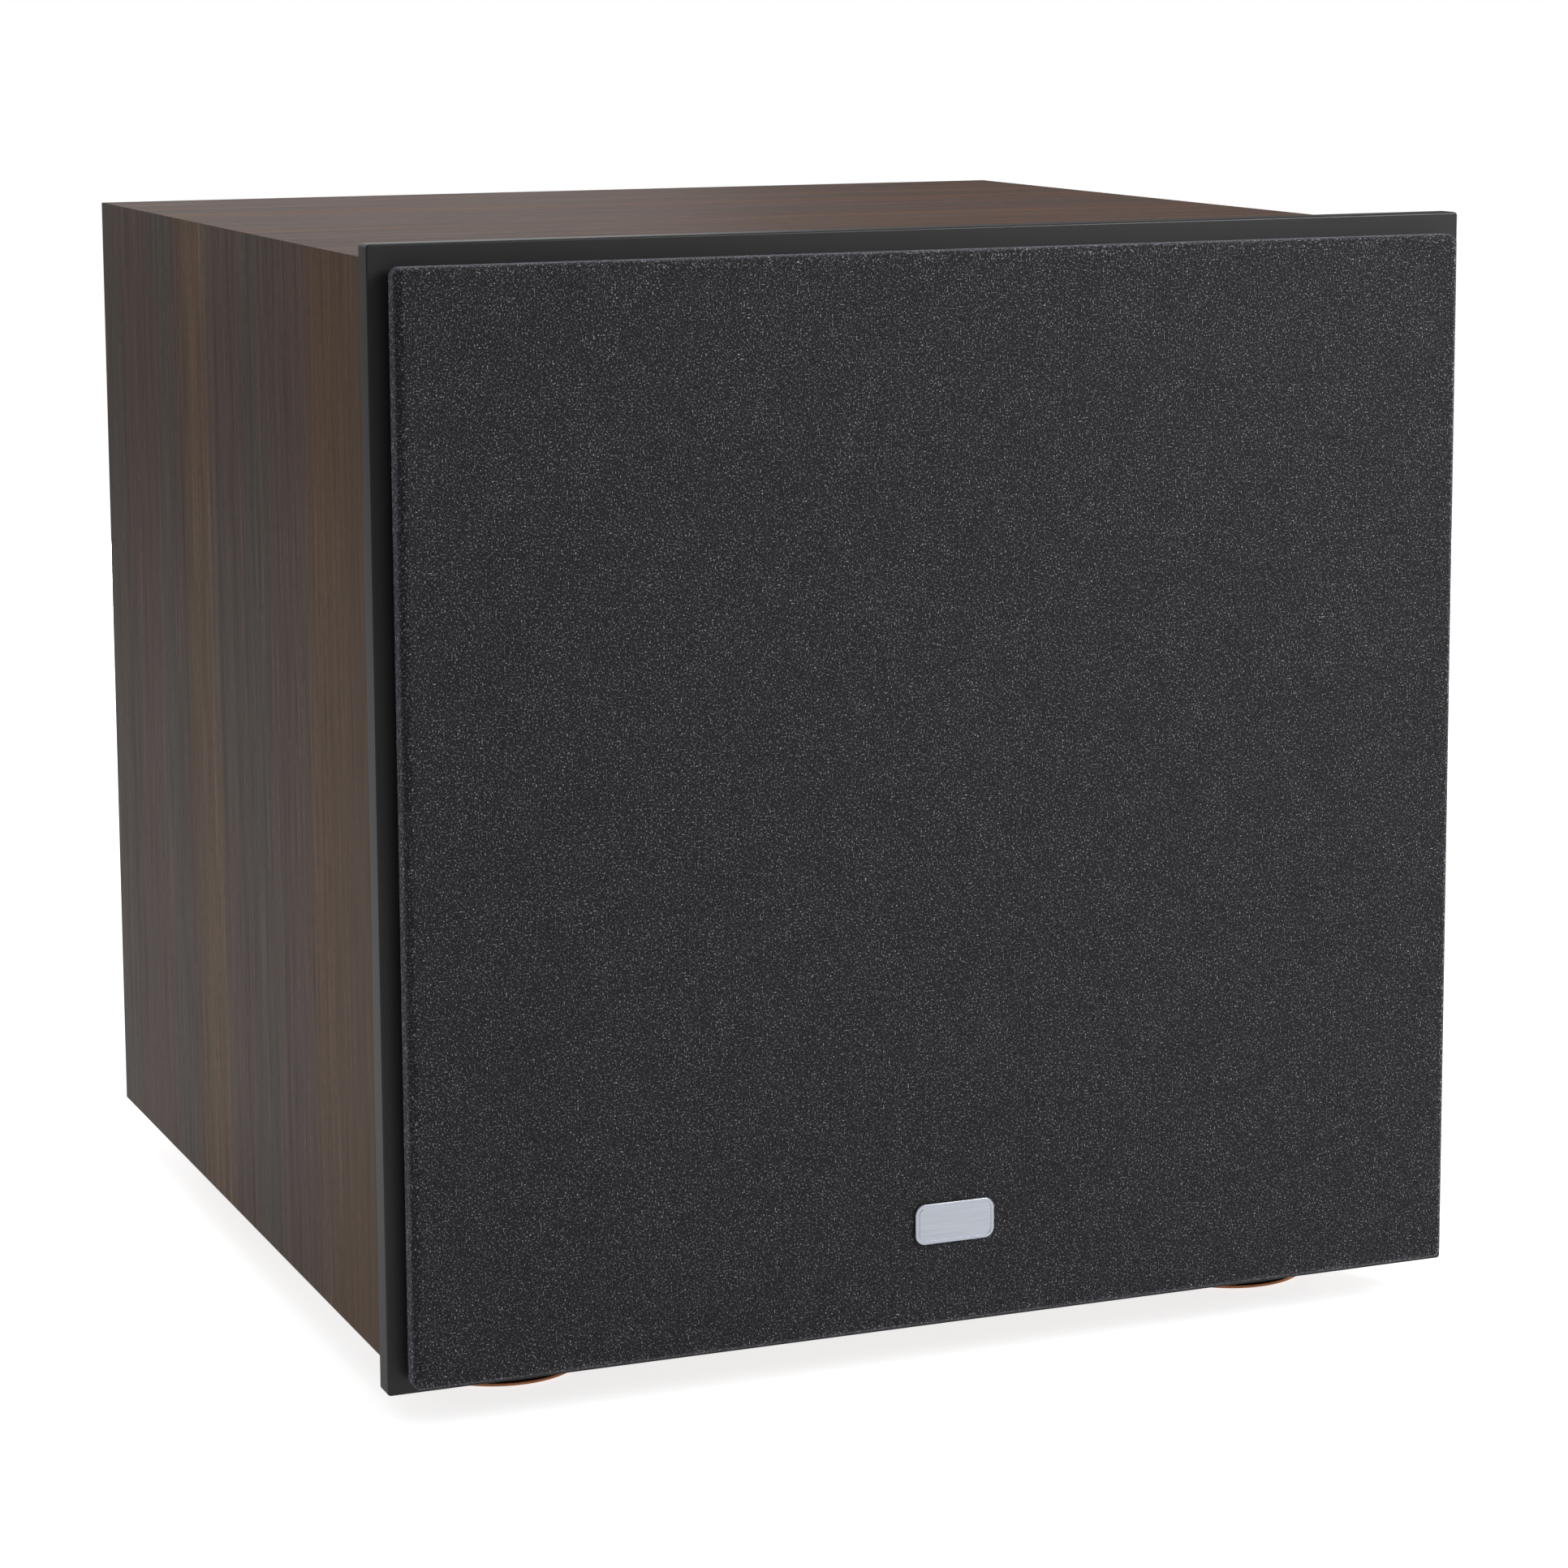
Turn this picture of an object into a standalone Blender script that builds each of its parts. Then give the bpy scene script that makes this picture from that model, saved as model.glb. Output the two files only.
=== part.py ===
"""A closed-back home subwoofer: a wood-wrapped cabinet, a black slab baffle, a pull-off cloth grille,
a twelve-inch driver, a rear port and a plate amplifier.

Metres, +Z up. The front faces -Y. The origin is on the floor under the middle of the object.
"""

import math

import bmesh
import bpy
from mathutils import Vector

# ---- driving dimensions -------------------------------------------------------------------------

GAP = 0.0003

BAFFLE_W = 0.390
BAFFLE_H = 0.372
BAFFLE_T = 0.009
OVERHANG_SIDE = 0.005
OVERHANG_Z = 0.0055
CABINET_D = 0.373
WALL = 0.018
FOOT_H = 0.0185

GRILLE_T = 0.0116
GRILLE_STAND = 0.0036
GRILLE_SIDE_MARGIN = 0.0058
GRILLE_TOP_MARGIN = 0.0069
GRILLE_BOTTOM_MARGIN = 0.0040
CLOTH_T = 0.0008
CLOTH_BEND = 0.002
GRILLE_RAIL = 0.024
BADGE_T = 0.0009
BADGE_W = 0.0288
BADGE_H = 0.0139
BADGE_Z = 0.0525

KNOB_REACH = 0.0138
PLATE_T = 0.003

# ---- positions that follow from them ------------------------------------------------------------

DEPTH = BADGE_T + GAP + GRILLE_T + BAFFLE_T + CABINET_D + KNOB_REACH
Y_FRONT = -DEPTH / 2
Y_CLOTH = Y_FRONT + BADGE_T + GAP
Y_BAFFLE = Y_CLOTH + GRILLE_T
Y_GRILLE_REAR = Y_BAFFLE - GRILLE_STAND
Y_CABINET = Y_BAFFLE + BAFFLE_T
Y_BACK = Y_CABINET + CABINET_D
Y_REAR = Y_BACK + KNOB_REACH

CABINET_X = BAFFLE_W / 2 - OVERHANG_SIDE
CABINET_Z0 = FOOT_H
CABINET_Z1 = FOOT_H + BAFFLE_H - 2 * OVERHANG_Z
BAFFLE_Z0 = CABINET_Z0 - OVERHANG_Z
BAFFLE_Z1 = BAFFLE_Z0 + BAFFLE_H
INNER_X = CABINET_X - WALL
INNER_Z0 = CABINET_Z0 + WALL
INNER_Z1 = CABINET_Z1 - WALL

GRILLE_X = BAFFLE_W / 2 - GRILLE_SIDE_MARGIN
GRILLE_Z0 = BAFFLE_Z0 + GRILLE_BOTTOM_MARGIN
GRILLE_Z1 = BAFFLE_Z1 - GRILLE_TOP_MARGIN

# driver, measured from the front face of its flange
DRIVER_Z = (BAFFLE_Z0 + BAFFLE_Z1) / 2
FLANGE_R = 0.154
FLANGE_T = 0.004
Y_FLANGE = Y_CABINET - FLANGE_T
DRIVER_HOLE_R = 0.141
SCREW_RING_R = 0.149
CONE_RIM_R = 0.116
COIL_R = 0.025
DRIVER_STEPS = 30

# rear
AMP_W = 0.240
AMP_H = 0.190
AMP_Z = 0.130
AMP_CUT_W = 0.216
AMP_CUT_H = 0.166
Y_PLATE = Y_BACK + GAP
Y_PLATE_FACE = Y_PLATE + PLATE_T
PORT_Z = 0.295
PORT_R = 0.0375
PORT_LENGTH = 0.160

FOOT_R = 0.0278
FOOT_X = 0.139
FOOT_INSET = 0.057

SMOOTH_ANGLE = math.radians(35)


# ---- scene and materials ------------------------------------------------------------------------


def clear_scene():
    for obj in list(bpy.data.objects):
        bpy.data.objects.remove(obj)


def new_collection(name):
    collection = bpy.data.collections.new(name)
    bpy.context.scene.collection.children.link(collection)
    return collection


def principled(name, colour, roughness, metallic):
    material = bpy.data.materials.new(name)
    material.use_nodes = True
    shader = material.node_tree.nodes["Principled BSDF"]
    shader.inputs["Base Color"].default_value = (*colour, 1.0)
    shader.inputs["Roughness"].default_value = roughness
    shader.inputs["Metallic"].default_value = metallic
    return material


LOOKS = {
    "wood": ((0.085, 0.060, 0.045), 0.45, 0.0),
    "wood_top": ((0.120, 0.100, 0.085), 0.45, 0.0),
    "board": ((0.42, 0.30, 0.19), 0.80, 0.0),
    "black_lacquer": ((0.020, 0.020, 0.021), 0.40, 0.0),
    "black_plastic": ((0.018, 0.018, 0.018), 0.50, 0.0),
    "knit_cloth": ((0.055, 0.055, 0.058), 0.95, 0.0),
    "silver": ((0.60, 0.62, 0.65), 0.30, 1.0),
    "rubber": ((0.015, 0.015, 0.015), 0.70, 0.0),
    "paper": ((0.030, 0.030, 0.032), 0.85, 0.0),
    "linen": ((0.55, 0.36, 0.12), 0.90, 0.0),
    "black_steel": ((0.030, 0.030, 0.032), 0.45, 1.0),
    "zinc": ((0.55, 0.56, 0.57), 0.35, 1.0),
    "ferrite": ((0.060, 0.060, 0.065), 0.60, 0.0),
    "polyimide": ((0.45, 0.22, 0.05), 0.40, 0.0),
    "copper": ((0.72, 0.35, 0.18), 0.30, 1.0),
    "fibreglass": ((0.02, 0.16, 0.07), 0.45, 0.0),
    "aluminium": ((0.60, 0.60, 0.61), 0.40, 1.0),
    "sleeve": ((0.03, 0.03, 0.10), 0.35, 0.0),
    "gold": ((0.80, 0.58, 0.20), 0.30, 1.0),
    "lamp": ((0.10, 0.60, 0.15), 0.20, 0.0),
}


def finish(obj, look):
    """Gives the object its own material and smooth shading with sharp creases."""
    colour, roughness, metallic = LOOKS[look]
    obj.data.materials.clear()
    obj.data.materials.append(principled(obj.name + "_material", colour, roughness, metallic))
    obj.data.shade_smooth()
    obj.data.set_sharp_from_angle(angle=SMOOTH_ANGLE)
    return obj


# ---- shapes -------------------------------------------------------------------------------------


def link(name, mesh, collection):
    obj = bpy.data.objects.new(name, mesh)
    collection.objects.link(obj)
    return obj


def box(name, low, high, collection, bevel=0.0, segments=2):
    """A box between two corners, with its origin at its centre."""
    low = Vector(low)
    high = Vector(high)
    size = high - low
    shape = bmesh.new()
    bmesh.ops.create_cube(shape, size=1.0)
    bmesh.ops.scale(shape, vec=size, verts=shape.verts)
    mesh = bpy.data.meshes.new(name)
    shape.to_mesh(mesh)
    shape.free()
    obj = link(name, mesh, collection)
    obj.location = (low + high) / 2
    if bevel:
        modifier = obj.modifiers.new("Bevel", "BEVEL")
        modifier.width = bevel
        modifier.segments = segments
    return obj


def turned(name, profile, steps, place, pitch, collection, closed=True):
    """Turns a profile of (radius, height) round Z, then lays it at place, pitched about X in degrees.

    The profile runs down its outer side. A closed one never reaches the axis; an open one starts and
    ends on it.
    """
    mesh = bpy.data.meshes.new(name)
    shape = bmesh.new()
    verts = [shape.verts.new((radius, 0.0, height)) for radius, height in profile]
    for first, second in zip(verts, verts[1:]):
        shape.edges.new((first, second))
    if closed:
        shape.edges.new((verts[-1], verts[0]))
    shape.to_mesh(mesh)
    shape.free()
    obj = link(name, mesh, collection)
    modifier = obj.modifiers.new("Screw", "SCREW")
    modifier.axis = "Z"
    modifier.angle = math.tau
    modifier.steps = steps
    modifier.render_steps = steps
    modifier.use_merge_vertices = True
    modifier.merge_threshold = 0.00001
    modifier.use_smooth_shade = True
    obj.location = place
    obj.rotation_euler = (math.radians(pitch), 0.0, 0.0)
    return obj


def from_front(name, profile, steps, collection, closed=True):
    """A turned driver piece: the profile is (radius, depth behind the flange face)."""
    laid = [(radius, -depth) for radius, depth in profile]
    return turned(name, laid, steps, (0.0, Y_FLANGE, DRIVER_Z), 90, collection, closed)


def from_back(name, profile, steps, x, z, collection, closed=True):
    """A turned piece on the back: the profile is (radius, y), with the object's origin at y = Y_BACK."""
    laid = [(radius, y - Y_BACK) for radius, y in profile]
    return turned(name, laid, steps, (x, Y_BACK, z), -90, collection, closed)


def rounded_rectangle(x0, x1, z0, z1, radius, count):
    """Points round a rectangle with rounded corners, anticlockwise."""
    corners = (
        (x1 - radius, z0 + radius, -90),
        (x1 - radius, z1 - radius, 0),
        (x0 + radius, z1 - radius, 90),
        (x0 + radius, z0 + radius, 180),
    )
    points = []
    for x, z, start in corners:
        for i in range(count + 1):
            angle = math.radians(start + 90 * i / count)
            points.append((x + radius * math.cos(angle), z + radius * math.sin(angle)))
    return points


def circle(x, z, radius, count):
    points = []
    for i in range(count):
        angle = math.tau * i / count
        points.append((x + radius * math.cos(angle), z + radius * math.sin(angle)))
    return points


def outlined(name, outlines, y0, y1, collection):
    """A plate in the XZ plane between y0 and y1. Outlines after the first are holes in it."""
    curve = bpy.data.curves.new(name, "CURVE")
    curve.dimensions = "2D"
    curve.fill_mode = "BOTH"
    curve.extrude = (y1 - y0) / 2
    for points in outlines:
        spline = curve.splines.new("POLY")
        spline.points.add(len(points) - 1)
        for point, (x, z) in zip(spline.points, points):
            point.co = (x, z, 0.0, 1.0)
        spline.use_cyclic_u = True
    source = link(name + "_outline", curve, collection)
    source.location = (0.0, (y0 + y1) / 2, 0.0)
    source.rotation_euler = (math.radians(90), 0.0, 0.0)
    return made_mesh(name, source, collection)


def made_mesh(name, source, collection):
    """Turns a curve object into a closed mesh object and removes the curve."""
    bpy.context.view_layer.update()
    graph = bpy.context.evaluated_depsgraph_get()
    mesh = bpy.data.meshes.new_from_object(source.evaluated_get(graph))
    shape = bmesh.new()
    shape.from_mesh(mesh)
    bmesh.ops.remove_doubles(shape, verts=shape.verts, dist=0.00001)
    bmesh.ops.recalc_face_normals(shape, faces=shape.faces)
    shape.to_mesh(mesh)
    shape.free()
    mesh.name = name
    obj = link(name, mesh, collection)
    obj.matrix_world = source.matrix_world.copy()
    bpy.data.objects.remove(source)
    return obj


def combine(target, other, operation):
    """Adds a Boolean. The other object stays behind as a hidden helper."""
    modifier = target.modifiers.new(operation.title() + "_" + other.name, "BOOLEAN")
    modifier.operation = operation
    modifier.object = other
    other.hide_render = True
    other.display_type = "WIRE"


def cut(target, cutter):
    combine(target, cutter, "DIFFERENCE")


def join(target, other):
    combine(target, other, "UNION")


def rod_cutter(name, x, z, radius, y0, y1, steps, helpers):
    """A straight round cutter along Y."""
    return outlined(name, [circle(x, z, radius, steps)], y0, y1, helpers)


# ---- cabinet ------------------------------------------------------------------------------------


def cabinet(parts):
    """Four mitred panels round a baffle, a back and a brace, all of 18 mm board but the brace."""
    slack = GAP / math.sqrt(2)
    y0 = Y_CABINET + GAP
    x0, x1 = CABINET_X, INNER_X
    z0, z1 = CABINET_Z0, INNER_Z0
    top, roof = CABINET_Z1, INNER_Z1
    outlines = {
        "left_panel": [(-x0, z0 + slack), (-x1, z1 + slack), (-x1, roof - slack), (-x0, top - slack)],
        "right_panel": [(x0, z0 + slack), (x0, top - slack), (x1, roof - slack), (x1, z1 + slack)],
        "top_panel": [(-x0 + slack, top), (-x1 + slack, roof), (x1 - slack, roof), (x0 - slack, top)],
        "bottom_panel": [(-x0 + slack, z0), (x0 - slack, z0), (x1 - slack, z1), (-x1 + slack, z1)],
    }
    for name, outline in outlines.items():
        look = "wood_top" if name == "top_panel" else "wood"
        finish(outlined(name, [outline], y0, Y_BACK, parts), look)

    low_x, high_x = -INNER_X + GAP, INNER_X - GAP
    low_z, high_z = INNER_Z0 + GAP, INNER_Z1 - GAP
    frame = [(low_x, low_z), (high_x, low_z), (high_x, high_z), (low_x, high_z)]

    hole = circle(0.0, DRIVER_Z, DRIVER_HOLE_R, 40)
    bores = [circle(x, z, 0.0023, 8) for x, z in driver_screw_places()]
    finish(outlined("inner_baffle", [frame, hole, *bores], y0, y0 + WALL, parts), "board")

    window = rounded_rectangle(-0.125, 0.125, 0.075, 0.325, 0.030, 4)
    finish(outlined("window_brace", [frame, window], -0.020, -0.005, parts), "board")

    amp_cut = rounded_rectangle(
        -AMP_CUT_W / 2, AMP_CUT_W / 2, AMP_Z - AMP_CUT_H / 2, AMP_Z + AMP_CUT_H / 2, 0.006, 2
    )
    port_cut = circle(0.0, PORT_Z, 0.046, 24)
    finish(outlined("back_panel", [frame, amp_cut, port_cut], Y_BACK - WALL, Y_BACK, parts), "wood")


def driver_screw_places():
    places = []
    for i in range(4):
        angle = math.radians(45 + 90 * i)
        places.append((SCREW_RING_R * math.cos(angle), DRIVER_Z + SCREW_RING_R * math.sin(angle)))
    return places


def peg_places():
    inset = 0.0115
    return {
        "top_left": (-GRILLE_X + inset, GRILLE_Z1 - inset),
        "top_right": (GRILLE_X - inset, GRILLE_Z1 - inset),
        "bottom_left": (-GRILLE_X + inset, GRILLE_Z0 + inset),
        "bottom_right": (GRILLE_X - inset, GRILLE_Z0 + inset),
    }


def front_baffle(parts):
    """A slab that overhangs the cabinet on all four sides, with the driver hole and the peg bores."""
    outer = rounded_rectangle(-BAFFLE_W / 2, BAFFLE_W / 2, BAFFLE_Z0, BAFFLE_Z1, 0.0012, 2)
    hole = circle(0.0, DRIVER_Z, FLANGE_R + 0.001, 40)
    bores = [circle(x, z, 0.0068, 16) for x, z in peg_places().values()]
    slab = outlined("front_baffle", [outer, hole, *bores], Y_BAFFLE, Y_CABINET, parts)
    finish(slab, "black_lacquer")

    # a cup closed at its rear end, open to the front
    depth = BAFFLE_T - GAP
    profile = [
        (0.0, 0.0012 - depth),
        (0.0040, 0.0012 - depth),
        (0.0040, 0.0),
        (0.0065, 0.0),
        (0.0065, -depth),
        (0.0, -depth),
    ]
    for place, (x, z) in peg_places().items():
        finish(
            turned("peg_socket_" + place, profile, 16, (x, Y_BAFFLE, z), 90, parts, closed=False),
            "black_plastic",
        )


# ---- grille -------------------------------------------------------------------------------------


def grille(parts, helpers):
    """A board frame under a stretched cloth, with a plaque and four pegs."""
    inset = CLOTH_T + GAP
    low = (-GRILLE_X + inset, Y_CLOTH + inset, GRILLE_Z0 + inset)
    high = (GRILLE_X - inset, Y_GRILLE_REAR, GRILLE_Z1 - inset)
    frame = box("grille_frame", low, high, parts, bevel=0.0018, segments=1)
    rail = GRILLE_RAIL
    window = rounded_rectangle(
        -GRILLE_X + rail, GRILLE_X - rail, GRILLE_Z0 + rail, GRILLE_Z1 - rail, 0.020, 4
    )
    cut(frame, outlined("grille_window", [window], Y_CLOTH - 0.005, Y_BAFFLE + 0.005, helpers))
    for place, (x, z) in peg_places().items():
        bore = rod_cutter("bore_" + place, x, z, 0.0033, Y_GRILLE_REAR - 0.0050, Y_BAFFLE, 12, helpers)
        cut(frame, bore)
    finish(frame, "black_plastic")

    cloth = cloth_shell(parts)
    finish(cloth, "knit_cloth")

    plaque = outlined(
        "badge",
        [rounded_rectangle(-BADGE_W / 2, BADGE_W / 2, BADGE_Z - BADGE_H / 2, BADGE_Z + BADGE_H / 2, 0.0035, 4)],
        Y_FRONT,
        Y_FRONT + BADGE_T,
        parts,
    )
    finish(plaque, "silver")

    # the stub sits in the frame, the longer shank holds it off the slab and goes into the socket
    profile = [
        (0.0, GRILLE_STAND + 0.0047),
        (0.0030, GRILLE_STAND + 0.0047),
        (0.0030, GRILLE_STAND - GAP),
        (0.0036, GRILLE_STAND - GAP),
        (0.0036, -0.0060),
        (0.0026, -0.0072),
        (0.0, -0.0072),
    ]
    for place, (x, z) in peg_places().items():
        finish(
            turned("grille_peg_" + place, profile, 12, (x, Y_BAFFLE, z), 90, parts, closed=False),
            "black_plastic",
        )


def cloth_shell(parts):
    """The cloth: a flat front with its edges bent back along the frame, open behind."""
    y0, y1 = Y_CLOTH, Y_GRILLE_REAR - GAP
    shape = bmesh.new()
    bmesh.ops.create_cube(shape, size=1.0)
    size = Vector((2 * GRILLE_X, y1 - y0, GRILLE_Z1 - GRILLE_Z0))
    bmesh.ops.scale(shape, vec=size, verts=shape.verts)
    shape.normal_update()
    rear = [face for face in shape.faces if face.normal.y > 0.5]
    bmesh.ops.delete(shape, geom=rear, context="FACES_ONLY")
    bent = [edge for edge in shape.edges if not edge.is_boundary]
    bmesh.ops.bevel(
        shape, geom=bent, offset=CLOTH_BEND, segments=4, profile=0.5, affect="EDGES", offset_type="OFFSET"
    )
    mesh = bpy.data.meshes.new("grille_cloth")
    shape.to_mesh(mesh)
    shape.free()
    obj = link("grille_cloth", mesh, parts)
    obj.location = (0.0, (y0 + y1) / 2, (GRILLE_Z0 + GRILLE_Z1) / 2)
    shell = obj.modifiers.new("Solidify", "SOLIDIFY")
    shell.thickness = CLOTH_T
    shell.offset = -1.0
    shell.use_even_offset = True
    return obj


# ---- driver -------------------------------------------------------------------------------------


def driver(parts, helpers):
    basket(parts, helpers)
    moving_parts(parts)
    motor(parts)

    gasket = [(0.1365, -0.0044), (0.1425, -0.0044), (0.1435, -0.0036), (0.1435, -0.0014), (0.1365, -0.0014)]
    finish(from_front("driver_gasket", gasket, DRIVER_STEPS, parts), "rubber")

    low = (-0.012, Y_FLANGE + 0.070, DRIVER_Z - 0.101)
    high = (0.012, Y_FLANGE + 0.086, DRIVER_Z - 0.0865)
    finish(box("terminal_strip", low, high, parts, bevel=0.0008, segments=1), "black_plastic")

    # pan head on the flange, shank through it into the inner baffle
    profile = [
        (0.0, 0.0026),
        (0.0022, 0.0024),
        (0.0035, 0.0012),
        (0.0035, GAP),
        (0.0019, GAP),
        (0.0019, -0.0160),
        (0.0, -0.0185),
    ]
    for i, (x, z) in enumerate(driver_screw_places()):
        screw = turned("driver_screw_" + str(i + 1), profile, 10, (x, Y_FLANGE, z), 90, parts, closed=False)
        finish(screw, "black_steel")


def basket(parts, helpers):
    """A pressed steel frame: flange, a bowl with six windows, a ledge for the spider and a seat."""
    profile = [
        (0.1350, 0.0),
        (FLANGE_R, 0.0),
        (FLANGE_R, FLANGE_T),
        (0.1395, FLANGE_T),
        (0.1370, 0.0090),
        (0.1330, 0.0190),
        (0.0985, 0.0580),
        (0.0975, 0.0685),
        (0.0860, 0.0690),
        (0.0720, 0.0850),
        (0.0285, 0.0850),
        (0.0285, 0.0820),
        (0.0700, 0.0820),
        (0.0835, 0.0660),
        (0.0945, 0.0660),
        (0.0955, 0.0565),
        (0.1300, 0.0180),
        (0.1350, 0.0080),
    ]
    frame = from_front("driver_basket", profile, DRIVER_STEPS, parts)
    for i in range(6):
        angle = math.radians(60 * i)
        reach = Vector((math.cos(angle), 0.0, math.sin(angle)))
        cutter = window_cutter("basket_window_" + str(i + 1), helpers)
        cutter.location = Vector((0.0, Y_FLANGE + 0.0370, DRIVER_Z)) + 0.112 * reach
        cutter.rotation_euler = (0.0, -angle, 0.0)
        cut(frame, cutter)
    for i, (x, z) in enumerate(driver_screw_places()):
        bore = rod_cutter(
            "flange_bore_" + str(i + 1), x, z, 0.0025, Y_FLANGE - 0.002, Y_FLANGE + 0.006, 8, helpers
        )
        cut(frame, bore)
    finish(frame, "black_steel")


def window_cutter(name, helpers):
    """A block that leaves an arm on each side of it in the bowl's wall."""
    shape = bmesh.new()
    bmesh.ops.create_cube(shape, size=1.0)
    bmesh.ops.scale(shape, vec=(0.070, 0.030, 0.078), verts=shape.verts)
    mesh = bpy.data.meshes.new(name)
    shape.to_mesh(mesh)
    shape.free()
    return link(name, mesh, helpers)


def moving_parts(parts):
    """Surround, cone, dust cap, spider, former and coil, from the front to the back."""
    roll_r = 0.0095
    middle = 0.1255
    sheet = 0.0008
    outer = []
    inner = []
    for i in range(7):
        angle = math.pi * i / 6
        along = math.cos(angle)
        up = math.sin(angle)
        outer.append((middle + roll_r * along, -0.0011 - 0.0088 * up))
        inner.append((middle + (roll_r - sheet) * along, -0.0003 - 0.0088 * up))
    profile = [(0.1430, -0.0003), (0.1352, -0.0003)]
    profile += inner
    profile += [(0.1085, -0.0003), (0.1085, -0.0011)]
    profile += list(reversed(outer))
    profile += [(0.1430, -0.0011)]
    finish(from_front("surround", profile, DRIVER_STEPS, parts), "rubber")

    front = []
    rear = []
    for i in range(5):
        share = i / 4
        radius = 0.1085 + (COIL_R + 0.0004 - 0.1085) * share
        depth = 0.0450 * share**0.85
        front.append((radius, depth + 0.0))
        rear.append((radius, depth + 0.0010))
    profile = [(CONE_RIM_R, 0.0), (CONE_RIM_R, 0.0010), *rear, *reversed(front)]
    finish(from_front("cone", profile, DRIVER_STEPS, parts), "paper")

    cap_r = 0.044
    rise = 0.0105
    foot = cone_depth(cap_r) - 0.0004
    over = []
    under = []
    for i in range(5):
        share = i / 4
        over.append((cap_r * share, foot - 0.0008 - rise * (1 - share**2)))
        under.append(((cap_r - 0.0006) * share, foot - rise * (1 - share**2)))
    finish(from_front("dust_cap", over + list(reversed(under)), 28, parts, closed=False), "paper")

    spider(parts)

    former = [
        (COIL_R - 0.0004, 0.0440),
        (COIL_R, 0.0440),
        (COIL_R, 0.1020),
        (COIL_R - 0.0004, 0.1020),
    ]
    finish(from_front("voice_coil_former", former, 24, parts), "polyimide")
    coil = [
        (COIL_R + 0.0003, 0.0770),
        (COIL_R + 0.0014, 0.0770),
        (COIL_R + 0.0014, 0.1010),
        (COIL_R + 0.0003, 0.1010),
    ]
    finish(from_front("voice_coil", coil, 24, parts), "copper")


def cone_depth(radius):
    share = (0.1085 - radius) / (0.1085 - COIL_R - 0.0004)
    return 0.0450 * share**0.85


def spider(parts):
    """A corrugated centring disc between the former and the basket's ledge."""
    waves = 3
    start, end = 0.0310, 0.0830
    count = 2 * waves
    level = 0.0645
    top = [(0.0940, level), (0.0835, level)]
    for i in range(count + 1):
        radius = end + (start - end) * i / count
        swing = 0.0 if i in (0, count) else (0.0016 if i % 2 else -0.0016)
        top.append((radius, level + swing))
    top.append((0.0253, level))
    low = [(radius, depth + 0.0008) for radius, depth in reversed(top)]
    finish(from_front("spider", list(reversed(top)) + list(reversed(low)), 24, parts), "linen")


def motor(parts):
    plate = [(0.0274, 0.0853), (0.0600, 0.0853), (0.0600, 0.0933), (0.0274, 0.0933)]
    finish(from_front("top_plate", plate, 28, parts), "zinc")
    magnet = [
        (0.0330, 0.0936),
        (0.0690, 0.0936),
        (0.0705, 0.0951),
        (0.0705, 0.1121),
        (0.0690, 0.1136),
        (0.0330, 0.1136),
    ]
    finish(from_front("magnet", magnet, 28, parts), "ferrite")
    yoke = [
        (0.0090, 0.0853),
        (0.0236, 0.0853),
        (0.0236, 0.1139),
        (0.0640, 0.1139),
        (0.0640, 0.1199),
        (0.0600, 0.1219),
        (0.0120, 0.1219),
        (0.0090, 0.1189),
    ]
    finish(from_front("yoke", yoke, 28, parts), "zinc")


# ---- port ---------------------------------------------------------------------------------------


def port(parts):
    """A flared mouth on the back, and the tube pushed over its collar."""
    mouth_y = Y_PLATE_FACE
    mouth_rise = 0.015
    mouth_gain = 0.0125
    mouth = []
    for i in range(5):
        angle = math.pi / 2 * i / 4
        radius = PORT_R + mouth_gain * (1 - math.cos(angle))
        mouth.append((radius, mouth_y - mouth_rise + mouth_rise * math.sin(angle)))
    outer = [
        (0.0550, mouth_y),
        (0.0550, Y_PLATE),
        (0.0456, Y_PLATE),
        (0.0430, Y_BACK - 0.008),
        (PORT_R + 0.0027, Y_BACK - 0.016),
        (PORT_R + 0.0027, Y_BACK - 0.032),
        (PORT_R, Y_BACK - 0.032),
    ]
    finish(from_back("port_flare", outer + mouth, 28, 0.0, PORT_Z, parts), "black_plastic")
    y0, y1 = Y_BACK - PORT_LENGTH, Y_BACK - 0.0175
    inside, outside = PORT_R + 0.0030, PORT_R + 0.0055
    tube = [(inside, y1), (outside, y1), (outside, y0), (inside, y0)]
    finish(from_back("port_tube", tube, 28, 0.0, PORT_Z, parts), "black_plastic")


# ---- plate amplifier ----------------------------------------------------------------------------

VOLUME = (0.082, 0.195)
CROSSOVER = (0.044, 0.195)
PHASE = (0.004, 0.195)
AUTO = (-0.034, 0.195)
LAMP = (-0.080, 0.195)
LINE_LEFT = (0.082, 0.160)
LINE_RIGHT = (0.062, 0.160)
ROCKER = (-0.080, 0.140)
INLET = (-0.080, 0.096)
SWITCH_TRAVEL = 0.004
ROCKER_TILT = 7.0


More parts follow.
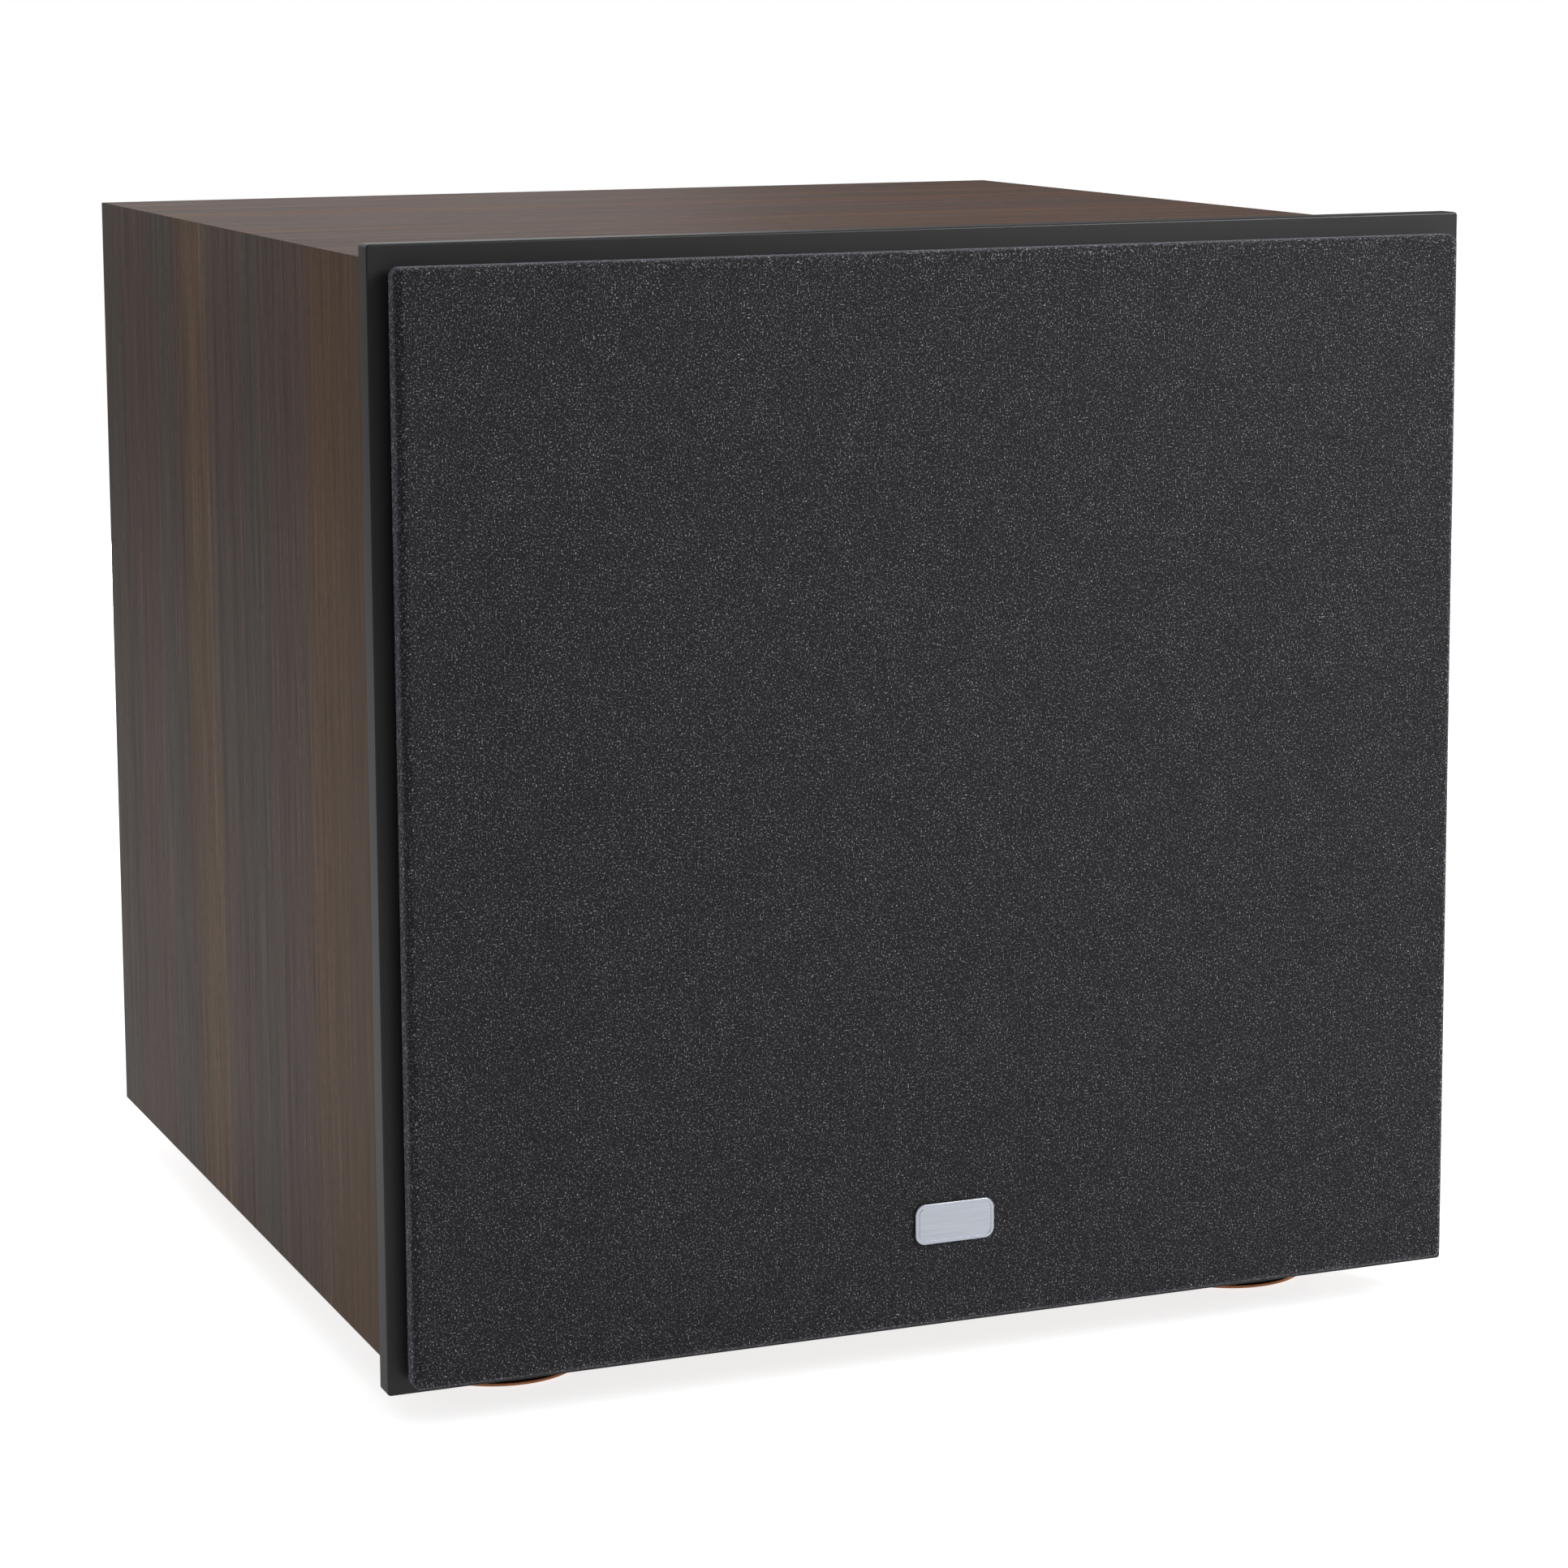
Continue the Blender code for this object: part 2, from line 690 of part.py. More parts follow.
def amplifier(parts, helpers):
    plate(parts)
    for name, (x, z) in (("volume_knob", VOLUME), ("crossover_knob", CROSSOVER)):
        knob(name, x, z, parts, helpers)
    for name, (x, z) in (("phase_switch", PHASE), ("auto_on_switch", AUTO)):
        slide_switch(name, x - SWITCH_TRAVEL / 2, z, parts, helpers)
    power_rocker(parts)
    mains_inlet(parts, helpers)
    for name, (x, z) in (("line_in_jack_left", LINE_LEFT), ("line_in_jack_right", LINE_RIGHT)):
        line_jack(name, x, z, parts)
    lamp = [
        (0.0, Y_PLATE_FACE + 0.0022),
        (0.0018, Y_PLATE_FACE + 0.0016),
        (0.0025, Y_PLATE_FACE),
        (0.0025, Y_PLATE - 0.004),
        (0.0, Y_PLATE - 0.004),
    ]
    finish(from_back("status_lamp", lamp, 12, *LAMP, parts, closed=False), "lamp")
    electronics(parts, helpers)


def centred(x, z, half_w, half_h):
    return [(x - half_w, z - half_h), (x + half_w, z - half_h), (x + half_w, z + half_h), (x - half_w, z + half_h)]


def plate(parts):
    """The steel plate, with a hole for each control and socket."""
    outer = rounded_rectangle(-AMP_W / 2, AMP_W / 2, AMP_Z - AMP_H / 2, AMP_Z + AMP_H / 2, 0.006, 3)
    slot_w = 0.0014 + SWITCH_TRAVEL / 2 + 0.0005
    holes = [
        circle(*VOLUME, 0.0036, 12),
        circle(*CROSSOVER, 0.0036, 12),
        centred(*PHASE, slot_w, 0.0018),
        centred(*AUTO, slot_w, 0.0018),
        circle(*LAMP, 0.0029, 12),
        circle(*LINE_LEFT, 0.0048, 12),
        circle(*LINE_RIGHT, 0.0048, 12),
        centred(*ROCKER, 0.0066, 0.0106),
        centred(*INLET, 0.0139, 0.0099),
    ]
    finish(outlined("amp_plate", [outer, *holes], Y_PLATE, Y_PLATE_FACE, parts), "black_steel")


def knob(name, x, z, parts, helpers):
    """A knob with its shaft. The mark is a groove from the middle up to the rim."""
    profile = [
        (0.0, Y_REAR),
        (0.0066, Y_REAR),
        (0.0075, Y_REAR - 0.0009),
        (0.0085, Y_PLATE_FACE + 0.0006),
        (0.0030, Y_PLATE_FACE + 0.0006),
        (0.0030, Y_PLATE - 0.011),
        (0.0, Y_PLATE - 0.011),
    ]
    body = from_back(name, profile, 16, x, z, parts, closed=False)
    low = (x - 0.0005, Y_REAR - 0.0006, z + 0.0015)
    high = (x + 0.0005, Y_REAR + 0.0010, z + 0.0095)
    cut(body, box(name + "_mark", low, high, helpers))
    finish(body, "black_plastic")


def slide_switch(name, x, z, parts, helpers):
    """A lever that stands out of its slot, on a wider foot behind the plate."""
    stem = box(
        name, (x - 0.0014, Y_PLATE - 0.003, z - 0.0014), (x + 0.0014, Y_PLATE_FACE + 0.003, z + 0.0014), parts
    )
    foot = box(
        name + "_foot", (x - 0.004, Y_PLATE - 0.0045, z - 0.003), (x + 0.004, Y_PLATE - 0.0010, z + 0.003), helpers
    )
    join(stem, foot)
    finish(stem, "black_plastic")


def power_rocker(parts):
    """A rocker tilted to its off side about a pivot just behind the plate's face."""
    x, z = ROCKER
    shape = bmesh.new()
    bmesh.ops.create_cube(shape, size=1.0)
    bmesh.ops.scale(shape, vec=(0.0120, 0.0090, 0.0180), verts=shape.verts)
    bmesh.ops.translate(shape, vec=(0.0, -0.0005, 0.0), verts=shape.verts)
    mesh = bpy.data.meshes.new("power_rocker")
    shape.to_mesh(mesh)
    shape.free()
    obj = link("power_rocker", mesh, parts)
    obj.location = (x, Y_PLATE_FACE - 0.001, z)
    obj.rotation_euler = (math.radians(ROCKER_TILT), 0.0, 0.0)
    edge = obj.modifiers.new("Bevel", "BEVEL")
    edge.width = 0.0006
    edge.segments = 1
    finish(obj, "black_plastic")


def mains_inlet(parts, helpers):
    """A flanged socket with a deep recess and three pins."""
    x, z = INLET
    face = Y_PLATE_FACE + GAP + 0.002
    floor = Y_PLATE - 0.016
    body = box("mains_inlet", (x - 0.0135, floor - 0.003, z - 0.0095), (x + 0.0135, face, z + 0.0095), parts)
    rim = box(
        "inlet_rim", (x - 0.017, Y_PLATE_FACE + GAP, z - 0.0125), (x + 0.017, face, z + 0.0125), helpers
    )
    join(body, rim)
    hollow = box(
        "inlet_hollow", (x - 0.0115, floor, z - 0.0078), (x + 0.0115, face + 0.002, z + 0.0078), helpers
    )
    cut(body, hollow)
    for i, (dx, dz) in enumerate(((-0.007, -0.002), (0.0, 0.002), (0.007, -0.002))):
        low = (x + dx - 0.001, floor - 0.001, z + dz - 0.002)
        high = (x + dx + 0.001, floor + 0.011, z + dz + 0.002)
        join(body, box("inlet_pin_" + str(i + 1), low, high, helpers))
    finish(body, "black_plastic")


def line_jack(name, x, z, parts):
    """A phono socket: a flange, a barrel and a bore up its middle."""
    tip = Y_PLATE_FACE + 0.0088
    shoulder = Y_PLATE_FACE + GAP
    profile = [
        (0.0, tip - 0.0065),
        (0.0016, tip - 0.0065),
        (0.0016, tip),
        (0.0041, tip),
        (0.0041, shoulder + 0.0015),
        (0.0062, shoulder + 0.0015),
        (0.0062, shoulder),
        (0.0044, shoulder),
        (0.0044, Y_PLATE - 0.007),
        (0.0, Y_PLATE - 0.007),
    ]
    finish(from_back(name, profile, 12, x, z, parts, closed=False), "gold")


def electronics(parts, helpers):
    board_y = Y_PLATE - 0.040
    low, high = (-0.100, board_y, 0.060), (0.016, board_y + 0.0016, 0.205)
    finish(box("circuit_board", low, high, parts), "fibreglass")

    x, z = 0.062, 0.100
    back = Y_PLATE - GAP
    ring = [(0.0120, back), (0.0400, back), (0.0430, back - 0.004), (0.0430, back - 0.036),
            (0.0400, back - 0.040), (0.0120, back - 0.040)]
    finish(from_back("transformer", ring, 20, x, z, parts), "copper")

    foot = box("heatsink", (-0.100, back - 0.004, 0.0495), (0.014, back, 0.0720), parts)
    leg = box("heatsink_leg", (-0.100, back - 0.066, 0.0495), (0.014, back, 0.0535), helpers)
    join(foot, leg)
    finish(foot, "aluminium")

    can_y = board_y - GAP
    can = [(0.0, can_y), (0.0120, can_y), (0.0125, can_y - 0.0010), (0.0125, can_y - 0.0340),
           (0.0120, can_y - 0.0350), (0.0, can_y - 0.0350)]
    finish(from_back("capacitor", can, 14, -0.020, 0.150, parts, closed=False), "sleeve")

    start = Vector((0.0, Y_FLANGE + 0.086 + GAP, DRIVER_Z - 0.094))
    end = Vector((-0.045, board_y - GAP, 0.090))
    route = [
        start,
        start + Vector((0.0, 0.020, 0.0)),
        Vector((-0.006, -0.040, 0.098)),
        Vector((-0.018, 0.010, 0.088)),
        Vector((-0.034, 0.070, 0.082)),
        end + Vector((0.0, -0.020, 0.0)),
        end,
    ]
    lead("speaker_lead", route, 0.0016, parts)


def lead(name, route, radius, parts):
    """A wire along a smooth line through the route's points."""
    points = []
    for i in range(len(route) - 1):
        before = route[max(i - 1, 0)]
        after = route[min(i + 2, len(route) - 1)]
        for step in range(3):
            points.append(smooth_point(before, route[i], route[i + 1], after, step / 3))
    points.append(route[-1])
    curve = bpy.data.curves.new(name, "CURVE")
    curve.dimensions = "3D"
    curve.bevel_depth = radius
    curve.bevel_resolution = 2
    curve.use_fill_caps = True
    spline = curve.splines.new("POLY")
    spline.points.add(len(points) - 1)
    for point, place in zip(spline.points, points):
        point.co = (*place, 1.0)
    source = link(name + "_route", curve, parts)
    finish(made_mesh(name, source, parts), "black_plastic")


def smooth_point(before, first, second, after, share):
    """A point on the cubic that passes through first and second, aimed by their neighbours."""
    leave = (second - before) / 2
    arrive = (after - first) / 2
    s2 = share * share
    s3 = s2 * share
    return (
        first * (2 * s3 - 3 * s2 + 1)
        + leave * (s3 - 2 * s2 + share)
        + second * (3 * s2 - 2 * s3)
        + arrive * (s3 - s2)
    )


# ---- feet ---------------------------------------------------------------------------------------


def feet(parts):
    """Four round feet, each with a copper-coloured ring round its bottom edge."""
    front_y = Y_BAFFLE + FOOT_INSET
    rear_y = Y_BACK - FOOT_INSET + BAFFLE_T
    places = {
        "front_left": (-FOOT_X, front_y),
        "front_right": (FOOT_X, front_y),
        "rear_left": (-FOOT_X, rear_y),
        "rear_right": (FOOT_X, rear_y),
    }
    neck = FOOT_R - 0.0022
    body = [
        (0.0, FOOT_H - GAP),
        (FOOT_R - 0.0010, FOOT_H - GAP),
        (FOOT_R, FOOT_H - GAP - 0.0010),
        (FOOT_R, 0.0030),
        (neck, 0.0030),
        (neck, 0.0),
        (0.0, 0.0),
    ]
    ring = [
        (neck + GAP, 0.0027),
        (FOOT_R, 0.0027),
        (FOOT_R + 0.0004, 0.0023),
        (FOOT_R + 0.0004, 0.0012),
        (FOOT_R, 0.0008),
        (neck + GAP, 0.0008),
    ]
    for place, (x, y) in places.items():
        finish(turned("foot_" + place, body, 20, (x, y, 0.0), 0, parts, closed=False), "rubber")
        finish(turned("foot_ring_" + place, ring, 20, (x, y, 0.0), 0, parts), "copper")


def main():
    clear_scene()
    parts = new_collection("subwoofer")
    helpers = new_collection("helpers")
    helpers.hide_render = True
    cabinet(parts)
    front_baffle(parts)
    grille(parts, helpers)
    driver(parts, helpers)
    port(parts)
    amplifier(parts, helpers)
    feet(parts)


main()
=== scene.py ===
"""The looks of the subwoofer: wrapped cabinet, black slab, knit grille, driver, port and rear controls."""

import math

import bmesh
import bpy
from mathutils import Matrix, Vector


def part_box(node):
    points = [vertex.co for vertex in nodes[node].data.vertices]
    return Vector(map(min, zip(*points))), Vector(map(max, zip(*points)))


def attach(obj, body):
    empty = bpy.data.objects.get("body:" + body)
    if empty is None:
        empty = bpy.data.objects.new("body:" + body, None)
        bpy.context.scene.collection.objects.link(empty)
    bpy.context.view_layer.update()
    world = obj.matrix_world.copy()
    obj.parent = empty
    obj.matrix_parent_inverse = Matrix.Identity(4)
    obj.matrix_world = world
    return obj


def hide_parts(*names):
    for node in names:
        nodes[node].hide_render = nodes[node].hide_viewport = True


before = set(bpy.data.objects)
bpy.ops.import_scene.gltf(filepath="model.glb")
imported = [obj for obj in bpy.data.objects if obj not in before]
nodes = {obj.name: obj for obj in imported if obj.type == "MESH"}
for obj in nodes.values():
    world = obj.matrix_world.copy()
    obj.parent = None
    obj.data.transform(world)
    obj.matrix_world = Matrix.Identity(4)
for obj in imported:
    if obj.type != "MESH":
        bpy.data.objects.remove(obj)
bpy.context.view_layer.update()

# ---- camera -------------------------------------------------------------------------------------

YAW = math.radians(21.889)
PITCH = math.radians(8.303)
ROLL_ANGLE = math.radians(0.307)
CAMERA_AT = (-0.57487, -1.48396, 0.46972)

forward = Vector((math.sin(YAW) * math.cos(PITCH), math.cos(YAW) * math.cos(PITCH), -math.sin(PITCH)))
level = Vector((math.cos(YAW), -math.sin(YAW), 0.0))
upward = level.cross(forward)
right = level * math.cos(ROLL_ANGLE) - upward * math.sin(ROLL_ANGLE)
up = upward * math.cos(ROLL_ANGLE) + level * math.sin(ROLL_ANGLE)

camera_data = bpy.data.cameras.new("camera")
camera = bpy.data.objects.new("camera", camera_data)
bpy.context.scene.collection.objects.link(camera)
camera_data.sensor_width = 36.0
camera_data.lens = 98.95
camera_data.shift_y = -0.1201
camera_data.clip_end = 60.0
turn = Matrix((right, up, -forward)).transposed()
camera.matrix_world = Matrix.Translation(CAMERA_AT) @ turn.to_4x4()
bpy.context.scene.camera = camera

# ---- shader helpers -----------------------------------------------------------------------------


class Shade:
    """A material under construction: a Principled shader and short ways to wire nodes into it."""

    def __init__(self, name, colour=(0.5, 0.5, 0.5), roughness=0.5, metallic=0.0, **fixed):
        self.material = bpy.data.materials.new(name)
        self.material.use_nodes = True
        self.tree = self.material.node_tree
        self.shader = self.tree.nodes["Principled BSDF"]
        self.set(self.shader, "Base Color", (*colour, 1.0))
        self.set(self.shader, "Roughness", roughness)
        self.set(self.shader, "Metallic", metallic)
        for key, value in fixed.items():
            self.set(self.shader, key.replace("_", " "), value)
        self.coords = self.tree.nodes.new("ShaderNodeTexCoord").outputs["Object"]

    def set(self, node, socket, value):
        if hasattr(value, "is_output"):
            self.tree.links.new(value, node.inputs[socket])
        else:
            node.inputs[socket].default_value = value

    def scaled(self, x, y, z, rotation=(0.0, 0.0, 0.0)):
        node = self.tree.nodes.new("ShaderNodeMapping")
        self.set(node, "Vector", self.coords)
        self.set(node, "Scale", (x, y, z))
        self.set(node, "Rotation", rotation)
        return node.outputs["Vector"]

    def noise(self, vector, scale=1.0, detail=3.0, rough=0.5, distortion=0.0):
        node = self.tree.nodes.new("ShaderNodeTexNoise")
        self.set(node, "Vector", vector)
        self.set(node, "Scale", scale)
        self.set(node, "Detail", detail)
        self.set(node, "Roughness", rough)
        self.set(node, "Distortion", distortion)
        return node.outputs["Fac"]

    def ramp(self, value, *stops):
        node = self.tree.nodes.new("ShaderNodeValToRGB")
        self.set(node, "Fac", value)
        elements = node.color_ramp.elements
        while len(elements) < len(stops):
            elements.new(0.5)
        for element, (place, shade) in zip(elements, stops):
            element.position = place
            tone = (shade, shade, shade) if isinstance(shade, (int, float)) else shade
            element.color = (*tone, 1.0)
        return node.outputs["Color"]

    def span(self, value, low, high, to_low=0.0, to_high=1.0):
        node = self.tree.nodes.new("ShaderNodeMapRange")
        self.set(node, "Value", value)
        self.set(node, "From Min", low)
        self.set(node, "From Max", high)
        self.set(node, "To Min", to_low)
        self.set(node, "To Max", to_high)
        return node.outputs["Result"]

    def mix(self, share, first, second, blend="MIX"):
        node = self.tree.nodes.new("ShaderNodeMix")
        node.data_type = "RGBA"
        node.blend_type = blend
        self.set(node, 0, share)
        for socket, value in ((6, first), (7, second)):
            if isinstance(value, tuple):
                value = (*value, 1.0)
            self.set(node, socket, value)
        return node.outputs[2]

    def times(self, first, second):
        return self.mix(1.0, first, second, "MULTIPLY")

    def maths(self, operation, *values):
        node = self.tree.nodes.new("ShaderNodeMath")
        node.operation = operation
        for i, value in enumerate(values):
            self.set(node, i, value)
        return node.outputs[0]

    def axis(self, index):
        node = self.tree.nodes.new("ShaderNodeSeparateXYZ")
        self.set(node, 0, self.coords)
        return node.outputs[index]

    def colour(self, value):
        self.set(self.shader, "Base Color", value)

    def roughness(self, value):
        self.set(self.shader, "Roughness", value)

    def bump(self, height, distance, strength=1.0):
        node = self.tree.nodes.new("ShaderNodeBump")
        self.set(node, "Height", height)
        self.set(node, "Distance", distance)
        self.set(node, "Strength", strength)
        self.set(self.shader, "Normal", node.outputs["Normal"])


# ---- materials ----------------------------------------------------------------------------------

WOOD_TONES = {
    "warm": (0.124, 0.064, 0.029),
    "grey": (0.096, 0.056, 0.043),
    "cool": (0.083, 0.063, 0.049),
    "pale": (0.158, 0.096, 0.054),
}
COMB_DARK = (0.030, 0.016, 0.009)
COMB_PITCH = 8400.0
SIDE_FRONT, SIDE_BACK, COMB_END = -0.185, 0.190, -0.115
# The tones across a side panel, from its front edge to its back edge.
SIDE_BANDS = (
    (0.00, "warm"),
    (0.19, "warm"),
    (0.25, "grey"),
    (0.33, "grey"),
    (0.40, "cool"),
    (0.46, "grey"),
    (0.53, "grey"),
    (0.57, "pale"),
    (0.59, "warm"),
    (0.62, "pale"),
    (0.66, "warm"),
    (0.69, "grey"),
    (0.74, "cool"),
    (0.79, "grey"),
    (0.93, "grey"),
    (0.98, "cool"),
)
# The tones of a panel whose bands follow a slow noise.
DRIFTING_BANDS = (
    (0.30, "cool"),
    (0.42, "grey"),
    (0.50, "grey"),
    (0.56, "warm"),
    (0.62, "grey"),
    (0.72, "cool"),
)


def wood(name, along, banded=False, tint=(1.0, 1.0, 1.0), specular=0.12, roughness=0.44):
    """A printed wood-grain wrap: broad bands, streaks and hairlines along one axis, with fine pores."""
    s = Shade(name, roughness=roughness, Specular_IOR_Level=specular)
    spread = {"X": (0.0, 1.0, 1.0), "Z": (1.0, 1.0, 0.0)}[along]

    def grain(across, lengthwise):
        return s.scaled(*[across if part else lengthwise for part in spread])

    # The tint scales all tones; where it lightens a panel, as on the top wrap, it is painted light.
    tones = {key: tuple(a * b for a, b in zip(tint, tone)) for key, tone in WOOD_TONES.items()}
    patch = s.noise(grain(34.0, 3.5), detail=2.0)
    if banded:
        bend = s.noise(grain(6.0, 2.2), detail=1.0)
        place = s.maths("ADD", s.axis(1), s.span(bend, 0.3, 0.7, -0.008, 0.008))
        spot_on_ramp = s.span(place, SIDE_FRONT, SIDE_BACK)
        stops = SIDE_BANDS
    else:
        spot_on_ramp = s.noise(grain(14.0, 0.9), detail=2.0, distortion=0.25)
        stops = DRIFTING_BANDS
    bands = s.ramp(spot_on_ramp, *[(share, tones[key]) for share, key in stops])
    base = s.mix(s.span(patch, 0.50, 0.72, 0.0, 0.55), bands, tones["grey"])
    base = s.mix(s.span(patch, 0.28, 0.44, 0.40, 0.0), base, tones["cool"])
    streaks = s.noise(grain(190.0, 3.0), detail=4.0, rough=0.6)
    base = s.times(base, s.ramp(streaks, (0.28, 0.62), (0.50, 1.0), (0.74, 1.40)))
    lines = s.noise(grain(1500.0, 20.0), detail=2.0, rough=0.6)
    base = s.times(base, s.ramp(lines, (0.30, 0.68), (0.50, 0.98), (0.70, 1.36)))
    pores = s.noise(grain(2400.0, 230.0), detail=1.0)
    base = s.times(base, s.ramp(pores, (0.32, 0.70), (0.50, 1.0), (0.68, 1.34)))
    if banded:
        comb = s.maths("SINE", s.maths("MULTIPLY", place, COMB_PITCH))
        near = s.span(place, SIDE_FRONT, COMB_END, 0.72, 0.0)
        base = s.mix(near, base, s.mix(s.span(comb, -0.6, 0.9), COMB_DARK, tones["pale"]))
    s.colour(base)
    s.roughness(s.span(lines, 0.3, 0.7, roughness + 0.06, roughness - 0.06))
    s.bump(lines, 0.00012, 0.4)
    return s.material


def board(name):
    """Bare fibreboard: pale brown with fine dark and light fibres."""
    s = Shade(name, roughness=0.85)
    fibres = s.noise(s.scaled(900.0, 900.0, 900.0), detail=4.0, rough=0.7)
    dark, plain, light = (0.26, 0.17, 0.10), (0.42, 0.30, 0.19), (0.55, 0.42, 0.29)
    s.colour(s.ramp(fibres, (0.30, dark), (0.52, plain), (0.75, light)))
    s.bump(fibres, 0.00015, 0.5)
    return s.material


def moulded(name, colour, roughness, grain=1800.0, depth=0.00005):
    """Moulded plastic, rubber or paint: a fine leather-like grain and a slow drift in tone."""
    s = Shade(name, colour, roughness)
    fine = s.noise(s.scaled(grain, grain, grain), detail=3.0)
    slow = s.noise(s.scaled(24.0, 24.0, 24.0), detail=3.0)
    darker, lighter = tuple(c * 0.86 for c in colour), tuple(c * 1.16 for c in colour)
    tone = s.mix(s.span(slow, 0.3, 0.7), darker, lighter)
    s.colour(s.times(tone, s.ramp(fine, (0.3, 0.88), (0.7, 1.10))))
    s.roughness(s.span(fine, 0.3, 0.7, roughness - 0.05, roughness + 0.06))
    s.bump(fine, depth, 0.6)
    return s.material


def metal(name, colour, roughness, brushed=(1.0, 1.0, 1.0), scale=900.0):
    """Bare or plated metal, brushed along the axis whose share is small."""
    s = Shade(name, colour, roughness, 1.0)
    lines = s.noise(s.scaled(*[scale * part for part in brushed]), detail=3.0, rough=0.6)
    s.colour(s.times(colour, s.ramp(lines, (0.3, 0.86), (0.7, 1.08))))
    s.roughness(s.span(lines, 0.3, 0.7, roughness - 0.08, roughness + 0.08))
    s.bump(lines, 0.00002, 0.4)
    return s.material


def knit(name):
    """Charcoal grille cloth: black yarn with pale flecks, and a painted sheen that lightens it where it is
    seen edge-on.
    """
    s = Shade(name, Specular_IOR_Level=0.35, Sheen_Weight=0.30, Sheen_Roughness=0.30)
    s.set(s.shader, "Sheen Tint", (0.86, 0.86, 1.0, 1.0))
    yarn = s.noise(s.coords, 1900.0, 0.0)
    bright = s.noise(s.scaled(760.0, 760.0, 760.0, (0.6, 0.3, 0.9)), detail=2.0, rough=0.7)
    slow = s.noise(s.coords, 110.0, 2.0, 0.6)
    base = s.ramp(
        yarn,
        (0.34, (0.0044, 0.0044, 0.0062)),
        (0.50, (0.0075, 0.0075, 0.0102)),
        (0.60, (0.0230, 0.0230, 0.0285)),
        (0.70, (0.0850, 0.0850, 0.0960)),
        (0.82, (0.2600, 0.2600, 0.2800)),
    )
    base = s.times(base, s.ramp(bright, (0.34, 0.60), (0.50, 0.90), (0.68, 1.60)))
    base = s.times(base, s.ramp(slow, (0.3, 0.82), (0.7, 1.18)))
    # Painted sheen: the colour is lightened up to 2.6 times where the cloth is seen at a glancing angle.
    edge = s.tree.nodes.new("ShaderNodeLayerWeight")
    s.set(edge, "Blend", 0.5)
    s.colour(s.times(base, s.span(edge.outputs["Facing"], 0.35, 0.70, 1.0, 2.6)))
    s.roughness(s.span(yarn, 0.52, 0.74, 0.72, 0.40))
    s.bump(yarn, 0.00045, 0.8)
    return s.material


def pulp(name):
    """Pressed paper cone: near black with short fibres."""
    s = Shade(name, roughness=0.82)
    fibres = s.noise(s.scaled(420.0, 420.0, 420.0), detail=5.0, rough=0.7, distortion=1.5)
    dark, plain, light = (0.014, 0.014, 0.015), (0.030, 0.030, 0.032), (0.07, 0.07, 0.075)
    s.colour(s.ramp(fibres, (0.3, dark), (0.6, plain), (0.8, light)))
    s.bump(fibres, 0.00018, 0.6)
    return s.material


def woven(name, colour):
    """A stiffened open weave."""
    s = Shade(name, roughness=0.9)
    first, second = [s.maths("SINE", s.maths("MULTIPLY", s.axis(index), 5200.0)) for index in (0, 2)]
    weave = s.maths("MULTIPLY", first, second)
    s.colour(s.ramp(s.span(weave, -1.0, 1.0), (0.0, tuple(c * 0.55 for c in colour)), (1.0, colour)))
    s.bump(weave, 0.00015, 0.6)
    return s.material


WOOD_SIDE = wood("wood_side", "Z", banded=True)
# The top and bottom wrap: the same wood, its colour lightened by the tint as painted light from the softbox
# above.
WOOD_TOP_LIGHTENED = wood("wood_top", "X", tint=(1.26, 1.17, 1.12), specular=0.15, roughness=0.53)
WOOD_BACK = wood("wood_back", "Z")
BOARD = board("fibreboard")
SLAB = moulded("black_slab", (0.0120, 0.0120, 0.0140), 0.40, grain=2600.0, depth=0.00002)
PLASTIC = moulded("black_plastic", (0.018, 0.018, 0.018), 0.48)
KNOB = moulded("knob_plastic", (0.022, 0.022, 0.022), 0.36, grain=3000.0)
RUBBER = moulded("black_rubber", (0.014, 0.014, 0.014), 0.62, grain=1200.0)
ROLL = moulded("roll_rubber", (0.020, 0.020, 0.021), 0.50, grain=1500.0)
PAINT = moulded("painted_steel", (0.016, 0.016, 0.017), 0.46, grain=900.0, depth=0.00012)
CLOTH = knit("grille_knit")
PULP = pulp("cone_pulp")
LINEN = woven("spider_linen", (0.55, 0.36, 0.12))
SILVER = metal("brushed_silver", (0.63, 0.66, 0.73), 0.40, (0.02, 1.0, 1.0), 1600.0)
ZINC = metal("zinc_plate", (0.60, 0.61, 0.63), 0.34)
STEEL = metal("black_screw", (0.10, 0.10, 0.105), 0.36, scale=2000.0)
FERRITE = moulded("ferrite", (0.060, 0.060, 0.065), 0.60, grain=700.0)
AMBER = moulded("amber_film", (0.45, 0.22, 0.05), 0.35)
COPPER = metal("copper_trim", (0.70, 0.31, 0.15), 0.34, (1.0, 1.0, 0.05))
WINDING = metal("copper_winding", (0.72, 0.33, 0.16), 0.35, (1.0, 0.05, 1.0), 2500.0)
LAMINATE = moulded("green_laminate", (0.02, 0.16, 0.07), 0.40, grain=500.0)
RAW = metal("raw_aluminium", (0.62, 0.62, 0.63), 0.40, (1.0, 0.05, 1.0))
SLEEVE = moulded("blue_sleeve", (0.03, 0.03, 0.12), 0.30)
GOLD = metal("gold_plate", (0.83, 0.60, 0.22), 0.28, scale=1500.0)
RED = moulded("red_insulator", (0.55, 0.03, 0.02), 0.40)
WHITE = moulded("white_insulator", (0.75, 0.74, 0.70), 0.42)
LAMP = moulded("green_lamp", (0.10, 0.60, 0.15), 0.15)
MARK = moulded("white_mark", (0.62, 0.62, 0.60), 0.55)

# ---- mesh helpers -------------------------------------------------------------------------------

SHARP = math.radians(32)


